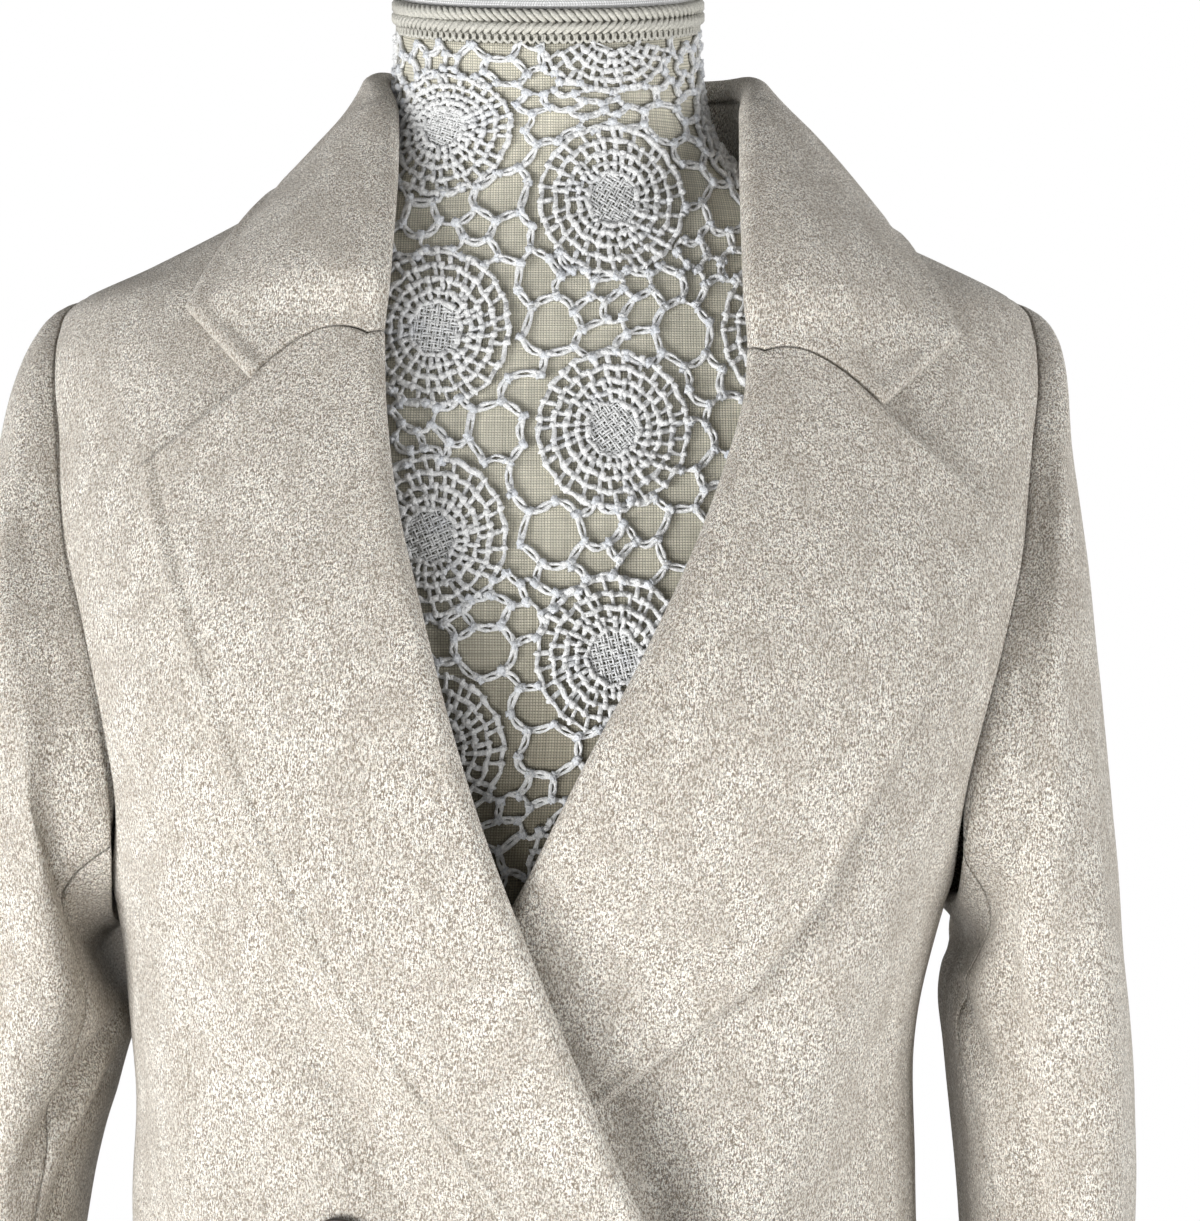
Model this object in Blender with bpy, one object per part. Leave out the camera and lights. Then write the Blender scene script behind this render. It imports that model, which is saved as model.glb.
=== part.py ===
"""Long double-breasted wool coat, worn by a limbless dress form on a round foot.

Metres, +Z up. The coat faces -Y and the origin is the middle of the foot's
underside. Right and left are the wearer's, so right lies at -X.
"""

import math

import bpy
import numpy as np
from mathutils import Vector

# ---- driving sizes -------------------------------------------------------------
CLOTH = 0.0024          # one layer of coating wool
DOUBLE = 0.0042         # cloth with its facing, as in the lapels and the collar
SEAM = 0.0004           # clear gap where two pieces are sewn together
LAY = 0.0010            # clear gap under a piece that lies on another
HEM_Z = 0.340
UNDERARM_Z = 1.1105
SHOULDER_TIP_Z = 1.3615
NECK_POINT_Z = 1.4180
SIDE_SEAM = math.radians(94.0)      # measured from the front round to the side
SIDE_REACH = 0.170                  # of the side seam from the middle, near enough for its gap

# The coat's body as horizontal rounded sections.
# z, centre x, half width, depth to the front, depth to the back, squareness
TORSO = [
    (0.340, 0.0000, 0.2260, 0.168, 0.178, 2.20),
    (0.560, -0.0010, 0.2100, 0.156, 0.160, 2.20),
    (0.760, -0.0040, 0.1880, 0.144, 0.140, 2.30),
    (0.900, -0.0080, 0.1690, 0.139, 0.119, 2.30),
    (1.000, -0.0086, 0.1625, 0.136, 0.103, 2.40),
    (1.050, -0.0086, 0.1630, 0.139, 0.102, 2.40),
    (1.105, -0.0060, 0.1715, 0.146, 0.105, 2.45),
    (1.154, -0.0020, 0.1860, 0.151, 0.109, 2.50),
    (1.190, 0.0000, 0.1960, 0.150, 0.112, 2.50),
    (1.234, 0.0000, 0.2040, 0.140, 0.115, 2.50),
    (1.270, 0.0000, 0.2090, 0.127, 0.115, 2.40),
    (1.300, 0.0000, 0.2120, 0.114, 0.112, 2.30),
    (1.327, 0.0000, 0.2130, 0.101, 0.106, 2.15),
    (1.345, 0.0000, 0.2090, 0.091, 0.099, 2.05),
    (1.360, 0.0000, 0.1990, 0.082, 0.091, 2.00),
    (1.375, 0.0000, 0.1680, 0.074, 0.083, 2.00),
    (1.390, 0.0000, 0.1360, 0.068, 0.076, 2.00),
    (1.400, 0.0000, 0.1170, 0.064, 0.072, 2.00),
    (1.410, 0.0000, 0.1010, 0.061, 0.069, 2.00),
    (1.420, 0.0000, 0.0880, 0.059, 0.067, 2.00),
    (1.440, 0.0000, 0.0740, 0.056, 0.064, 2.00),
]

# Soft folds that open from the hips to the hem.
# angle from the front in degrees, half width in degrees, height at the hem
HEM_FOLDS = [
    (-150.0, 13.0, 0.018),
    (-112.0, 11.0, 0.015),
    (-68.0, 12.0, 0.018),
    (60.0, 13.0, 0.017),
    (104.0, 11.0, 0.016),
    (143.0, 13.0, 0.019),
    (-178.0, 10.0, 0.013),
]
HEM_FOLDS_START_Z = 0.93
WAIST_ROWS_Z = 0.860        # the panels' mesh rows lie closer together above this
ROW_CROWDING = 0.11         # how much the rows crowd at both ends of the armhole
BORDER_STEP = 0.0010        # of the rows next to the armhole's and the shoulder's ends

# Armhole on the side of the body, once round from the shoulder tip by the front.
# turn in degrees, y, z
ARMHOLE = [
    (0.0, 0.004, SHOULDER_TIP_Z),
    (20.0, -0.020, 1.3470),
    (45.0, -0.045, 1.3065),
    (70.0, -0.062, 1.2580),
    (90.0, -0.077, 1.2220),
    (110.0, -0.086, 1.1840),
    (135.0, -0.078, 1.1430),
    (157.0, -0.046, 1.1190),
    (180.0, 0.006, UNDERARM_Z),
    (203.0, 0.050, 1.1200),
    (225.0, 0.070, 1.1470),
    (250.0, 0.076, 1.1900),
    (270.0, 0.073, 1.2280),
    (290.0, 0.066, 1.2680),
    (315.0, 0.052, 1.3120),
    (340.0, 0.029, 1.3480),
]

# Lapels, from the gorge down to the break of the front edge.
# roll x, roll z, mid x, mid z, edge x, edge z
LAPEL_RIGHT = [
    (-0.0624, 1.3396, -0.1141, 1.3195, -0.1582, 1.2864),
    (-0.0603, 1.3081, -0.1025, 1.2913, -0.1550, 1.2689),
    (-0.0549, 1.2714, -0.0952, 1.2602, -0.1460, 1.2415),
    (-0.0456, 1.2337, -0.0856, 1.2263, -0.1337, 1.2065),
    (-0.0350, 1.1932, -0.0724, 1.1856, -0.1183, 1.1640),
    (-0.0221, 1.1510, -0.0574, 1.1451, -0.1022, 1.1284),
    (-0.0060, 1.1083, -0.0410, 1.1059, -0.0832, 1.0947),
    (0.0120, 1.0630, -0.0207, 1.0664, -0.0606, 1.0618),
    (0.0377, 1.0024, 0.0130, 1.0060, -0.0136, 1.0008),
    (0.0700, 0.9480, 0.0530, 0.9450, 0.0350, 0.9420),
    (0.1040, 0.9050, 0.0940, 0.9030, 0.0840, 0.9010),
]
LAPEL_LEFT = [
    (0.0798, 1.3330, 0.1319, 1.3087, 0.1759, 1.2714),
    (0.0778, 1.3128, 0.1220, 1.2839, 0.1731, 1.2555),
    (0.0705, 1.2880, 0.1173, 1.2605, 0.1636, 1.2319),
    (0.0600, 1.2600, 0.1048, 1.2338, 0.1526, 1.2089),
    (0.0488, 1.2348, 0.0891, 1.2039, 0.1401, 1.1824),
    (0.0338, 1.2049, 0.0739, 1.1744, 0.1234, 1.1535),
    (0.0183, 1.1766, 0.0590, 1.1411, 0.1050, 1.1187),
    (0.0034, 1.1470, 0.0443, 1.1113, 0.0841, 1.0916),
    (-0.0110, 1.1190, 0.0280, 1.0840, 0.0595, 1.0707),
    (-0.0340, 1.0800, 0.0010, 1.0590, 0.0280, 1.0460),
    (-0.0640, 1.0320, -0.0380, 1.0200, -0.0140, 1.0090),
    (-0.0840, 1.0050, -0.0680, 0.9970, -0.0500, 0.9900),
]
# Where each gorge seam bends between the roll and the notch. x, z
GORGE_BEND = {-1: (-0.0895, 1.3385), 1: (0.1065, 1.3290)}
ROLL_RADIUS = 0.0050        # of the middle of the cloth, at the lapels' rolled edge
FLAT_RADIUS = 0.0028        # the same where a lapel lies flat: at its lower end, or covered
ROLL_GAP = 0.0014           # between the cloth behind the roll and the front's border
ROLL_LEG = 0.0085           # how far the cloth runs back inside, behind the roll
MID_HEIGHT = 0.0078         # of the cloth's middle over the front, half way to the edge
GORGE_RISE = 0.0008         # more than that at the gorge's bend, and half way to the mid line
OUTER_RISE = 0.0012         # bow of the cloth from the mid line to the edge
EDGE_RISE = 0.0008          # of the edge over the front, where the lapel isn't flat
COVERED_FROM = (6.4, 8.2)   # lapel stations over which the left lapel dips under the right

# Neck seams of the two fronts, above the lapels. z, distance from the middle
NECK_SEAM_RIGHT = [(1.3480, 0.0790), (1.3600, 0.0785), (1.3800, 0.0800), (1.4000, 0.0845)]
NECK_SEAM_LEFT = [(1.3400, 0.0945), (1.3600, 0.0915), (1.3800, 0.0890), (1.4000, 0.0875)]

# Collar, from one gorge round the neck to the other. Points of the cloth's middle:
# seam x, y, z; roll x, y, z; mid x, y, z; edge x, y, z
COLLAR_RIGHT = [
    (-0.0770, -0.0950, 1.3400, -0.0630, -0.1030, 1.3402,
     -0.0895, -0.1030, 1.3385, -0.1147, -0.0974, 1.3204),
    (-0.0765, -0.0790, 1.3570, -0.0625, -0.0925, 1.3580,
     -0.1000, -0.0870, 1.3600, -0.1440, -0.0680, 1.3510),
    (-0.0760, -0.0690, 1.3730, -0.0622, -0.0820, 1.3740,
     -0.0980, -0.0740, 1.3790, -0.1350, -0.0530, 1.3715),
    (-0.0780, -0.0490, 1.3980, -0.0618, -0.0580, 1.4070,
     -0.0940, -0.0520, 1.4040, -0.1235, -0.0310, 1.3925),
    (-0.0815, -0.0200, 1.4160, -0.0640, -0.0290, 1.4380,
     -0.0885, -0.0230, 1.4290, -0.1165, -0.0040, 1.4030),
    (-0.0825, 0.0080, 1.4235, -0.0700, 0.0060, 1.4560,
     -0.0885, 0.0130, 1.4350, -0.1115, 0.0260, 1.4040),
    (-0.0640, 0.0430, 1.4255, -0.0560, 0.0460, 1.4625,
     -0.0740, 0.0580, 1.4400, -0.0930, 0.0700, 1.4010),
    (0.0000, 0.0632, 1.4265, 0.0040, 0.0725, 1.4650,
     0.0040, 0.0860, 1.4400, 0.0040, 0.0920, 1.3930),
]
COLLAR_LEFT = [
    (0.0925, -0.0930, 1.3330, 0.0800, -0.1030, 1.3338,
     0.1065, -0.1020, 1.3290, 0.1320, -0.0973, 1.3095),
    (0.0905, -0.0790, 1.3500, 0.0803, -0.0930, 1.3520,
     0.1220, -0.0860, 1.3530, 0.1670, -0.0640, 1.3406),
    (0.0885, -0.0680, 1.3690, 0.0802, -0.0810, 1.3740,
     0.1180, -0.0740, 1.3770, 0.1590, -0.0550, 1.3590),
    (0.0860, -0.0480, 1.3960, 0.0805, -0.0590, 1.4050,
     0.1140, -0.0520, 1.4030, 0.1520, -0.0380, 1.3740),
    (0.0850, -0.0190, 1.4150, 0.0820, -0.0290, 1.4360,
     0.1110, -0.0230, 1.4260, 0.1450, -0.0080, 1.3860),
    (0.0850, 0.0080, 1.4225, 0.0840, 0.0060, 1.4540,
     0.1070, 0.0130, 1.4310, 0.1340, 0.0260, 1.3920),
    (0.0660, 0.0420, 1.4255, 0.0680, 0.0460, 1.4605,
     0.0860, 0.0580, 1.4380, 0.1050, 0.0720, 1.3980),
]
COLLAR_RADIUS = 0.0048
LAPEL_CELLS = (2, 5, 5, 4)  # mesh cells of a row: leg, roll, to the mid line, to the edge

# Sleeves, from the armhole down to the cuff, half turned out of the front view.
# outer x, outer z, inner x, inner z, middle y, half depth
SLEEVE_RIGHT = [
    (0.1985, 1.3640, 0.1800, 1.1050, -0.003, 0.0820),
    (0.2088, 1.3560, 0.1870, 1.1010, -0.003, 0.0840),
    (0.2169, 1.3430, 0.1900, 1.0970, -0.003, 0.0855),
    (0.2232, 1.3250, 0.1905, 1.0930, -0.003, 0.0865),
    (0.2283, 1.3060, 0.1892, 1.0885, -0.003, 0.0870),
    (0.2330, 1.2790, 0.1866, 1.0835, -0.003, 0.0870),
    (0.2410, 1.2360, 0.1830, 1.0770, -0.003, 0.0860),
    (0.2490, 1.1940, 0.1780, 1.0680, -0.004, 0.0845),
    (0.2560, 1.1520, 0.1752, 1.0580, -0.004, 0.0825),
    (0.2620, 1.1100, 0.1790, 1.0440, -0.005, 0.0800),
    (0.2670, 1.0680, 0.1841, 1.0270, -0.006, 0.0780),
    (0.2710, 1.0260, 0.1905, 1.0060, -0.007, 0.0755),
    (0.2750, 0.9720, 0.1973, 0.9650, -0.009, 0.0730),
    (0.2785, 0.9000, 0.2060, 0.8960, -0.013, 0.0695),
    (0.2800, 0.8400, 0.2115, 0.8380, -0.017, 0.0665),
    (0.2800, 0.7850, 0.2150, 0.7850, -0.021, 0.0640),
]
SLEEVE_LEFT = [
    (0.1955, 1.3625, 0.1730, 1.1050, -0.003, 0.0820),
    (0.2056, 1.3555, 0.1765, 1.1010, -0.003, 0.0840),
    (0.2115, 1.3450, 0.1785, 1.0970, -0.003, 0.0850),
    (0.2154, 1.3265, 0.1785, 1.0930, -0.003, 0.0855),
    (0.2188, 1.3057, 0.1772, 1.0890, -0.003, 0.0855),
    (0.2230, 1.2780, 0.1750, 1.0845, -0.003, 0.0850),
    (0.2273, 1.2340, 0.1722, 1.0785, -0.003, 0.0840),
    (0.2307, 1.1920, 0.1694, 1.0720, -0.004, 0.0825),
    (0.2349, 1.1500, 0.1678, 1.0600, -0.004, 0.0805),
    (0.2383, 1.1080, 0.1690, 1.0450, -0.005, 0.0785),
    (0.2417, 1.0660, 0.1703, 1.0280, -0.006, 0.0765),
    (0.2443, 1.0240, 0.1722, 1.0060, -0.007, 0.0745),
    (0.2447, 0.9700, 0.1758, 0.9640, -0.009, 0.0720),
    (0.2440, 0.9000, 0.1800, 0.8960, -0.013, 0.0690),
    (0.2410, 0.8400, 0.1825, 0.8380, -0.017, 0.0660),
    (0.2370, 0.7850, 0.1830, 0.7850, -0.021, 0.0635),
]
CAP_RINGS = 8               # rings over which the armhole's outline turns into an oval
UNDER_TURNS = (122.0, 152.0)        # turns over which the sleeve passes outside the body
ARMPIT_TURNS = (92.0, 112.0, 142.0, 158.0)      # where the armpit's wider gap starts and ends
ARMPIT_GAP = 0.0013
CAP_GAP = 0.0030            # by which the sleeve leaves the armhole over its first ring
LONG_SEAM_SHARE = 0.6       # of SEAM, on each side of a sleeve's long seams
SLEEVE_SQUARENESS = 2.3

# Where the two long sleeve seams run, as turns from the outer line in degrees.
# sleeve row, front seam right, front seam left, back seam
SLEEVE_SEAMS = [
    (0.0, 134.0, 138.0, 118.0),
    (5.0, 136.0, 152.0, 120.0),
    (8.0, 136.0, 162.0, 122.0),
    (10.0, 134.0, 154.0, 122.0),
    (12.0, 132.0, 132.0, 122.0),
    (15.0, 120.0, 120.0, 120.0),
]

# Drag folds of the sleeves: row and turn where each starts and ends, half width in
# degrees, height (a minus sign makes a trough).
SLEEVE_FOLDS = {
    -1: [(2.0, 84.0, 11.0, 112.0, 13.0, 0.0055), (5.0, 118.0, 12.0, 92.0, 10.0, -0.0060),
         (6.0, 150.0, 11.0, 128.0, 10.0, -0.0045), (8.0, 70.0, 14.0, 84.0, 13.0, 0.0045),
         (4.0, 240.0, 12.0, 262.0, 14.0, 0.0050), (9.0, 290.0, 14.0, 250.0, 12.0, -0.0040)],
    1: [(2.0, 78.0, 9.0, 104.0, 15.0, 0.0040), (7.0, 120.0, 13.0, 96.0, 13.0, -0.0035),
        (4.0, 244.0, 12.0, 264.0, 14.0, 0.0045), (9.0, 292.0, 14.0, 252.0, 12.0, -0.0038)],
}

# Creases of the fronts: x and z where each starts and ends, half width, height.
FRONT_CREASES = {
    -1: [(-0.098, 1.080, -0.040, 0.985, 0.012, -0.0034),
         (-0.150, 1.090, -0.120, 0.960, 0.018, 0.0030)],
    1: [(0.140, 1.130, 0.082, 0.985, 0.018, 0.0048)],
}

FRONT_EDGE_X = 0.1060       # straight front edge, past the middle
UNDER_DROP = 0.0058         # how far the under front is pressed in by the upper one
# Where the upper front rides over the under lapel: x, z, half widths, height
OVER_RISE = (-0.025, 1.050, 0.125, 0.092, 0.0082)

# Dress form: depth inside the coat's outer surface, by height. z, depth
FORM_BOTTOM_Z = 0.720
FORM_DEPTH = [
    (0.720, 0.0300), (0.800, 0.0260), (0.900, 0.0260), (1.000, 0.0270), (1.100, 0.0190),
    (1.200, 0.0140), (1.280, 0.0105), (1.335, 0.0078), (1.350, 0.0060), (1.362, 0.0042),
    (1.392, 0.0036),
]
# Neck of the form: z, half width, depth to the front, depth to the back
FORM_NECK = [
    (1.4000, 0.1050, 0.0595, 0.0670),
    (1.4100, 0.0870, 0.0570, 0.0640),
    (1.4220, 0.0750, 0.0555, 0.0595),
    (1.4370, 0.0670, 0.0550, 0.0585),
    (1.4550, 0.0635, 0.0547, 0.0580),
    (1.4763, 0.0625, 0.0545, 0.0578),
]
NECK_SLANT = 0.297          # the rim rises this much towards the back
BRAID_HEIGHT = 0.0130
BRAID_DEPTH = 0.0042
TRIM_INSET = 0.0100         # how far the braid's ends reach inside the neck's outline
TRIM_OUTSET = 0.0006        # of the braid's borders from the neck's outline
CAP_HEIGHT = 0.0110

FOOT_RADIUS = 0.170
FOOT_HEIGHT = 0.016
SOCKET_RADIUS = 0.023
SOCKET_TOP_Z = 0.085
POLE_RADIUS = 0.0125

BUTTON_RADIUS = 0.0110
BUTTON_THICK = 0.0042
# name, x, z, side of the front that carries it
BUTTONS = [
    ("button_upper_right", -0.0740, 0.991, -1),
    ("button_upper_left", 0.0800, 0.983, 1),
    ("button_lower_right", -0.0740, 0.880, -1),
    ("button_lower_left", 0.0760, 0.880, -1),
]

# name, colour, roughness, metallic
FINISHES = {
    "wool": ((0.60, 0.56, 0.50), 0.95, 0.0),
    "linen": ((0.70, 0.69, 0.60), 0.90, 0.0),
    "braid": ((0.62, 0.60, 0.50), 0.90, 0.0),
    "horn": ((0.035, 0.030, 0.028), 0.35, 0.0),
    "steel": ((0.55, 0.55, 0.56), 0.30, 1.0),
    "enamel": ((0.72, 0.71, 0.69), 0.40, 0.0),
}


# ---- curves and surfaces -------------------------------------------------------
def smooth(at, knots, values):
    """Cubic curve through the knots, with slopes taken from the neighbouring knots."""
    at, knots, values = (np.asarray(part, float) for part in (at, knots, values))
    slope = np.gradient(values, knots)
    i = np.clip(np.searchsorted(knots, at) - 1, 0, len(knots) - 2)
    step = knots[i + 1] - knots[i]
    t = np.clip((at - knots[i]) / step, 0.0, 1.0)
    start = (1 + 2 * t) * (1 - t) ** 2 * values[i] + t * (1 - t) ** 2 * step * slope[i]
    end = t * t * (3 - 2 * t) * values[i + 1] + t * t * (t - 1) * step * slope[i + 1]
    return start + end


def ramp(value, low, high):
    """0 at low, 1 at high, with a soft start and end."""
    t = np.clip((np.asarray(value, float) - low) / (high - low), 0.0, 1.0)
    return t * t * (3 - 2 * t)


def column(table, index):
    return np.array([row[index] for row in table])


def torso(z):
    """Centre, half width, front and back depth and squareness of the coat at z."""
    knots = column(TORSO, 0)
    return [smooth(z, knots, column(TORSO, index)) for index in range(1, 6)]


def hem_fold(theta, z):
    """Soft ridges that grow from the hips down to the hem."""
    grow = ramp(z, HEM_FOLDS_START_Z, HEM_Z)
    rise = np.zeros(np.broadcast(theta, z).shape)
    for angle, width, height in HEM_FOLDS:
        away = (theta - math.radians(angle) + math.pi) % (2 * math.pi) - math.pi
        rise = rise + height * np.exp(-(away / math.radians(width)) ** 2)
    return grow * rise


def skin(theta, z):
    """Coat surface: at each height a superellipse, theta turning from the front (-Y)."""
    centre, width, front, back, square = torso(z)
    sine, cosine = np.sin(theta), np.cos(theta)
    depth = np.where(cosine > 0, front, back)
    reach = (np.abs(sine / width) ** square + np.abs(cosine / depth) ** square) ** (-1 / square)
    reach = reach + hem_fold(theta, z)
    return np.stack([centre + reach * sine, -reach * cosine, z + 0 * theta], -1)


def even_turn(theta, z):
    """Turn that grows evenly round a flattened section, from the angle theta at z."""
    centre, width, front, back, square = torso(z)
    depth = np.where(np.cos(theta) > 0, front, back)
    lap = np.round(theta / math.pi) * math.pi
    return lap + np.arctan(np.tan(theta - lap) * depth / width)


def theta_of(turn, z):
    """Angle theta at z of an even turn: the opposite of even_turn."""
    centre, width, front, back, square = torso(z)
    depth = np.where(np.cos(turn) > 0, front, back)
    lap = np.round(turn / math.pi) * math.pi
    return lap + np.arctan(np.tan(turn - lap) * width / depth)


def unit(vectors):
    return vectors / np.maximum(np.linalg.norm(vectors, axis=-1, keepdims=True), 1e-12)


def skin_out(theta, z):
    """Outward unit vector of the coat surface."""
    across = skin(theta + 1e-3, z) - skin(theta - 1e-3, z)
    up = skin(theta, z + 2e-4) - skin(theta, z - 2e-4)
    return unit(np.cross(across, up))


def front_theta(x, z):
    """Angle of the point of the coat's front that lies at x and z."""
    centre, width, front, back, square = torso(z)
    share = np.clip(np.abs((x - centre) / width), 0, 1) ** square
    return np.arctan2(x - centre, front * (1 - share) ** (1 / square))


def side_theta(y, z, side):
    """Angle of the point of the coat's side that lies at y and z."""
    centre, width, front, back, square = torso(z)
    share = np.clip(np.abs(y / np.where(y < 0, front, back)), 0, 1) ** square
    return np.arctan2(side * width * (1 - share) ** (1 / square), -y)


def height_over(points):
    """Distance of points outside the coat surface, and the way out."""
    def share(at):
        centre, width, front, back, square = torso(at[..., 2])
        depth = np.where(at[..., 1] < 0, front, back)
        across = np.abs((at[..., 0] - centre) / width) ** square
        return (across + np.abs(at[..., 1] / depth) ** square) ** (1 / square)

    step = 2e-4
    slope = np.stack([(share(points + step * axis) - share(points - step * axis)) / (2 * step)
                      for axis in np.eye(3)], -1)
    steep = np.maximum(np.linalg.norm(slope, axis=-1), 1e-6)
    return (share(points) - 1) / steep, slope / steep[..., None]


def lift(points, least, top_z=1.425):
    """Points moved out where they lie less than `least` over the coat surface."""
    for _ in range(3):
        height, out = height_over(points)
        short = np.maximum(least - height, 0) * (points[..., 2] < top_z)
        points = points + short[..., None] * out
    return points


def crease(x, z, lines):
    """Sum of soft ridges and troughs, each round a straight line that fades at its ends."""
    rise = np.zeros(np.broadcast(x, z).shape)
    for x0, z0, x1, z1, width, height in lines:
        length = math.hypot(x1 - x0, z1 - z0)
        along = ((x - x0) * (x1 - x0) + (z - z0) * (z1 - z0)) / length ** 2
        across = ((x - x0) * (z1 - z0) - (z - z0) * (x1 - x0)) / length
        fade = ramp(along, -0.15, 0.30) * (1 - ramp(along, 0.70, 1.15))
        rise = rise + height * fade * np.exp(-(across / width) ** 2)
    return rise


def front_level(x, z, side):
    """Height of a front's outer face over the coat surface."""
    if side > 0:
        pressed = (1 - ramp(x, 0.095, 0.155)) * (1 - ramp(z, 1.11, 1.19))
        return -UNDER_DROP * pressed + crease(x, z, FRONT_CREASES[side])
    x0, z0, wide, tall, rise = OVER_RISE
    over = np.exp(-((x - x0) / wide) ** 4 - ((z - z0) / tall) ** 4)
    return rise * over + crease(x, z, FRONT_CREASES[side])


# ---- meshes --------------------------------------------------------------------
def finish(name):
    colour, roughness, metallic = FINISHES[name]
    material = bpy.data.materials.get(name) or bpy.data.materials.new(name)
    material.use_nodes = True
    shader = material.node_tree.nodes["Principled BSDF"]
    shader.inputs["Base Color"].default_value = (*colour, 1.0)
    shader.inputs["Roughness"].default_value = roughness
    shader.inputs["Metallic"].default_value = metallic
    return material


def add_object(name, points, faces, material):
    """One named object from points and faces, turned so that its faces look out."""
    mesh = bpy.data.meshes.new(name)
    mesh.from_pydata(np.asarray(points).reshape(-1, 3).tolist(), [], faces)
    mesh.update()
    volume = 0.0
    for polygon in mesh.polygons:
        corners = [mesh.vertices[index].co for index in polygon.vertices]
        for second, third in zip(corners[1:], corners[2:]):
            volume += corners[0].dot(second.cross(third))
    if volume < 0:
        mesh.flip_normals()
    mesh.shade_smooth()
    mesh.set_sharp_from_angle(angle=math.radians(40))
    mesh.materials.append(finish(material))
    obj = bpy.data.objects.new(name, mesh)
    bpy.context.collection.objects.link(obj)
    return obj


def grid_out(grid):
    """Unit normals of a grid of points, from its two sets of lines."""
    return unit(np.cross(np.gradient(grid, axis=1), np.gradient(grid, axis=0)))


def wall(name, middle, thick, out=None, material="wool"):
    """Closed cloth wall: the grid moved half the thickness to each side, and its rim.

    Every four-sided cell is cut along its shorter diagonal, so that the borders of
    two neighbours that are sewn together bend alike.
    """
    rows, columns = middle.shape[:2]
    half = 0.5 * np.broadcast_to(np.asarray(thick, float), (rows, columns))[..., None]
    out = grid_out(middle) if out is None else out
    points = np.concatenate([(middle + half * out).reshape(-1, 3),
                             (middle - half * out).reshape(-1, 3)])
    index = np.arange(rows * columns).reshape(rows, columns)
    far = index + rows * columns
    faces = []
    for r in range(rows - 1):
        for c in range(columns - 1):
            a, b, d, e = index[r, c], index[r, c + 1], index[r + 1, c], index[r + 1, c + 1]
            down = np.linalg.norm(middle[r, c] - middle[r + 1, c + 1])
            up = np.linalg.norm(middle[r, c + 1] - middle[r + 1, c])
            for face in ([a, b, e], [a, e, d]) if down < up else ([a, b, d], [b, e, d]):
                faces.append(face)
                faces.append([corner + rows * columns for corner in reversed(face)])
    rim = [*zip(index[0], far[0])] + [*zip(index[1:, -1], far[1:, -1])]
    rim += [*zip(index[-1, -2::-1], far[-1, -2::-1])] + [*zip(index[-2:0:-1, 0], far[-2:0:-1, 0])]
    for (near_a, far_a), (near_b, far_b) in zip(rim, rim[1:] + rim[:1]):
        one = np.linalg.norm(points[near_a] - points[far_b])
        other = np.linalg.norm(points[near_b] - points[far_a])
        if one < other:
            faces += [[near_b, near_a, far_b], [near_a, far_a, far_b]]
        else:
            faces += [[near_b, near_a, far_a], [near_b, far_a, far_b]]
    return add_object(name, points, [[int(i) for i in face] for face in faces], material)


def tube(name, rings, material):
    """Closed body through rings of points, its two ends filled."""
    count, sides = rings.shape[:2]
    faces = []
    for r in range(count - 1):
        for s in range(sides):
            near, far = r * sides + s, r * sides + (s + 1) % sides
            faces.append([near, far, far + sides, near + sides])
    faces.append(list(range(sides))[::-1])
    faces.append([(count - 1) * sides + s for s in range(sides)])
    return add_object(name, rings, faces, material)


def turned(name, profile, sides, material):
    """Round body about Z from a profile of radius and height."""
    turn = np.arange(sides) * 2 * math.pi / sides
    rings = [np.stack([r * np.cos(turn), r * np.sin(turn), z + 0 * turn], -1) for r, z in profile]
    return tube(name, np.array(rings), material)


# ---- coat body -----------------------------------------------------------------
def armhole_point(turn):
    """y and z of the armhole at a turn in degrees, by a closed smooth curve."""
    turns = column(ARMHOLE, 0)
    knots = np.concatenate([turns[-3:] - 360, turns, turns[:3] + 360])
    wrap = [column(ARMHOLE, index) for index in (1, 2)]
    turn = np.asarray(turn, float) % 360
    return [smooth(turn, knots, np.concatenate([line[-3:], line, line[:3]])) for line in wrap]


def outer_line(z, side, back):
    """Angle of a panel's outer border at z: side seam, armhole, then shoulder seam."""
    turns = np.linspace(0, 180, 181)
    y_line, z_line = armhole_point(-turns if back else turns)
    y = np.interp(-z, -z_line, y_line)
    in_armhole = (z > UNDERARM_Z) & (z < SHOULDER_TIP_Z)
    gap = (1 if back else -1) * SEAM / 2 / SIDE_REACH
    seam = side * (SIDE_SEAM + gap)
    theta = side_theta(y, z, side)
    theta = np.where(theta * side < 0, theta + side * 2 * math.pi, theta)
    return np.where(in_armhole, theta, seam)


def lapel_stations(side):
    return LAPEL_RIGHT if side < 0 else LAPEL_LEFT


def stations(table, count):
    """Rows of a table, read at `count` even steps along a smooth curve through them."""
    table = np.array(table)
    knots = np.arange(len(table))
    at = np.linspace(0, len(table) - 1, count)
    return np.stack([smooth(at, knots, table[:, i]) for i in range(table.shape[1])], -1), at


def roll_leg(row, at, gap=0.0):
    """x and z where the cloth behind a lapel's roll ends, plus a gap."""
    across = unit(row[:, 2:4] - row[:, 0:2])
    shorter = 1 - 0.55 * ramp(at, at[-1] - 3, at[-1])
    reach = (ROLL_RADIUS + DOUBLE / 2 + ROLL_LEG) * shorter + gap
    return row[:, 0:2] + across * reach[:, None]


def inner_line(z, side):
    """x of a front's free border at z: front edge, behind the lapel's roll, neck seam."""
    leg = roll_leg(*stations(lapel_stations(side), 60), ROLL_GAP)
    neck = NECK_SEAM_RIGHT if side < 0 else NECK_SEAM_LEFT
    edge = -side * FRONT_EDGE_X
    knots = [(HEM_Z, edge - side * 0.004), (0.62, edge - side * 0.002),
             (leg[-1, 1] - 0.030, edge), (leg[-1, 1] - 0.012, edge + side * 0.001)]
    knots += [(z_leg, x_leg) for x_leg, z_leg in leg[::-1]]
    knots += [(z_neck, side * x_neck) for z_neck, x_neck in neck]
    knots.append((NECK_POINT_Z, side * 0.0885))
    return np.interp(z, *np.array(knots).T)


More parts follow.
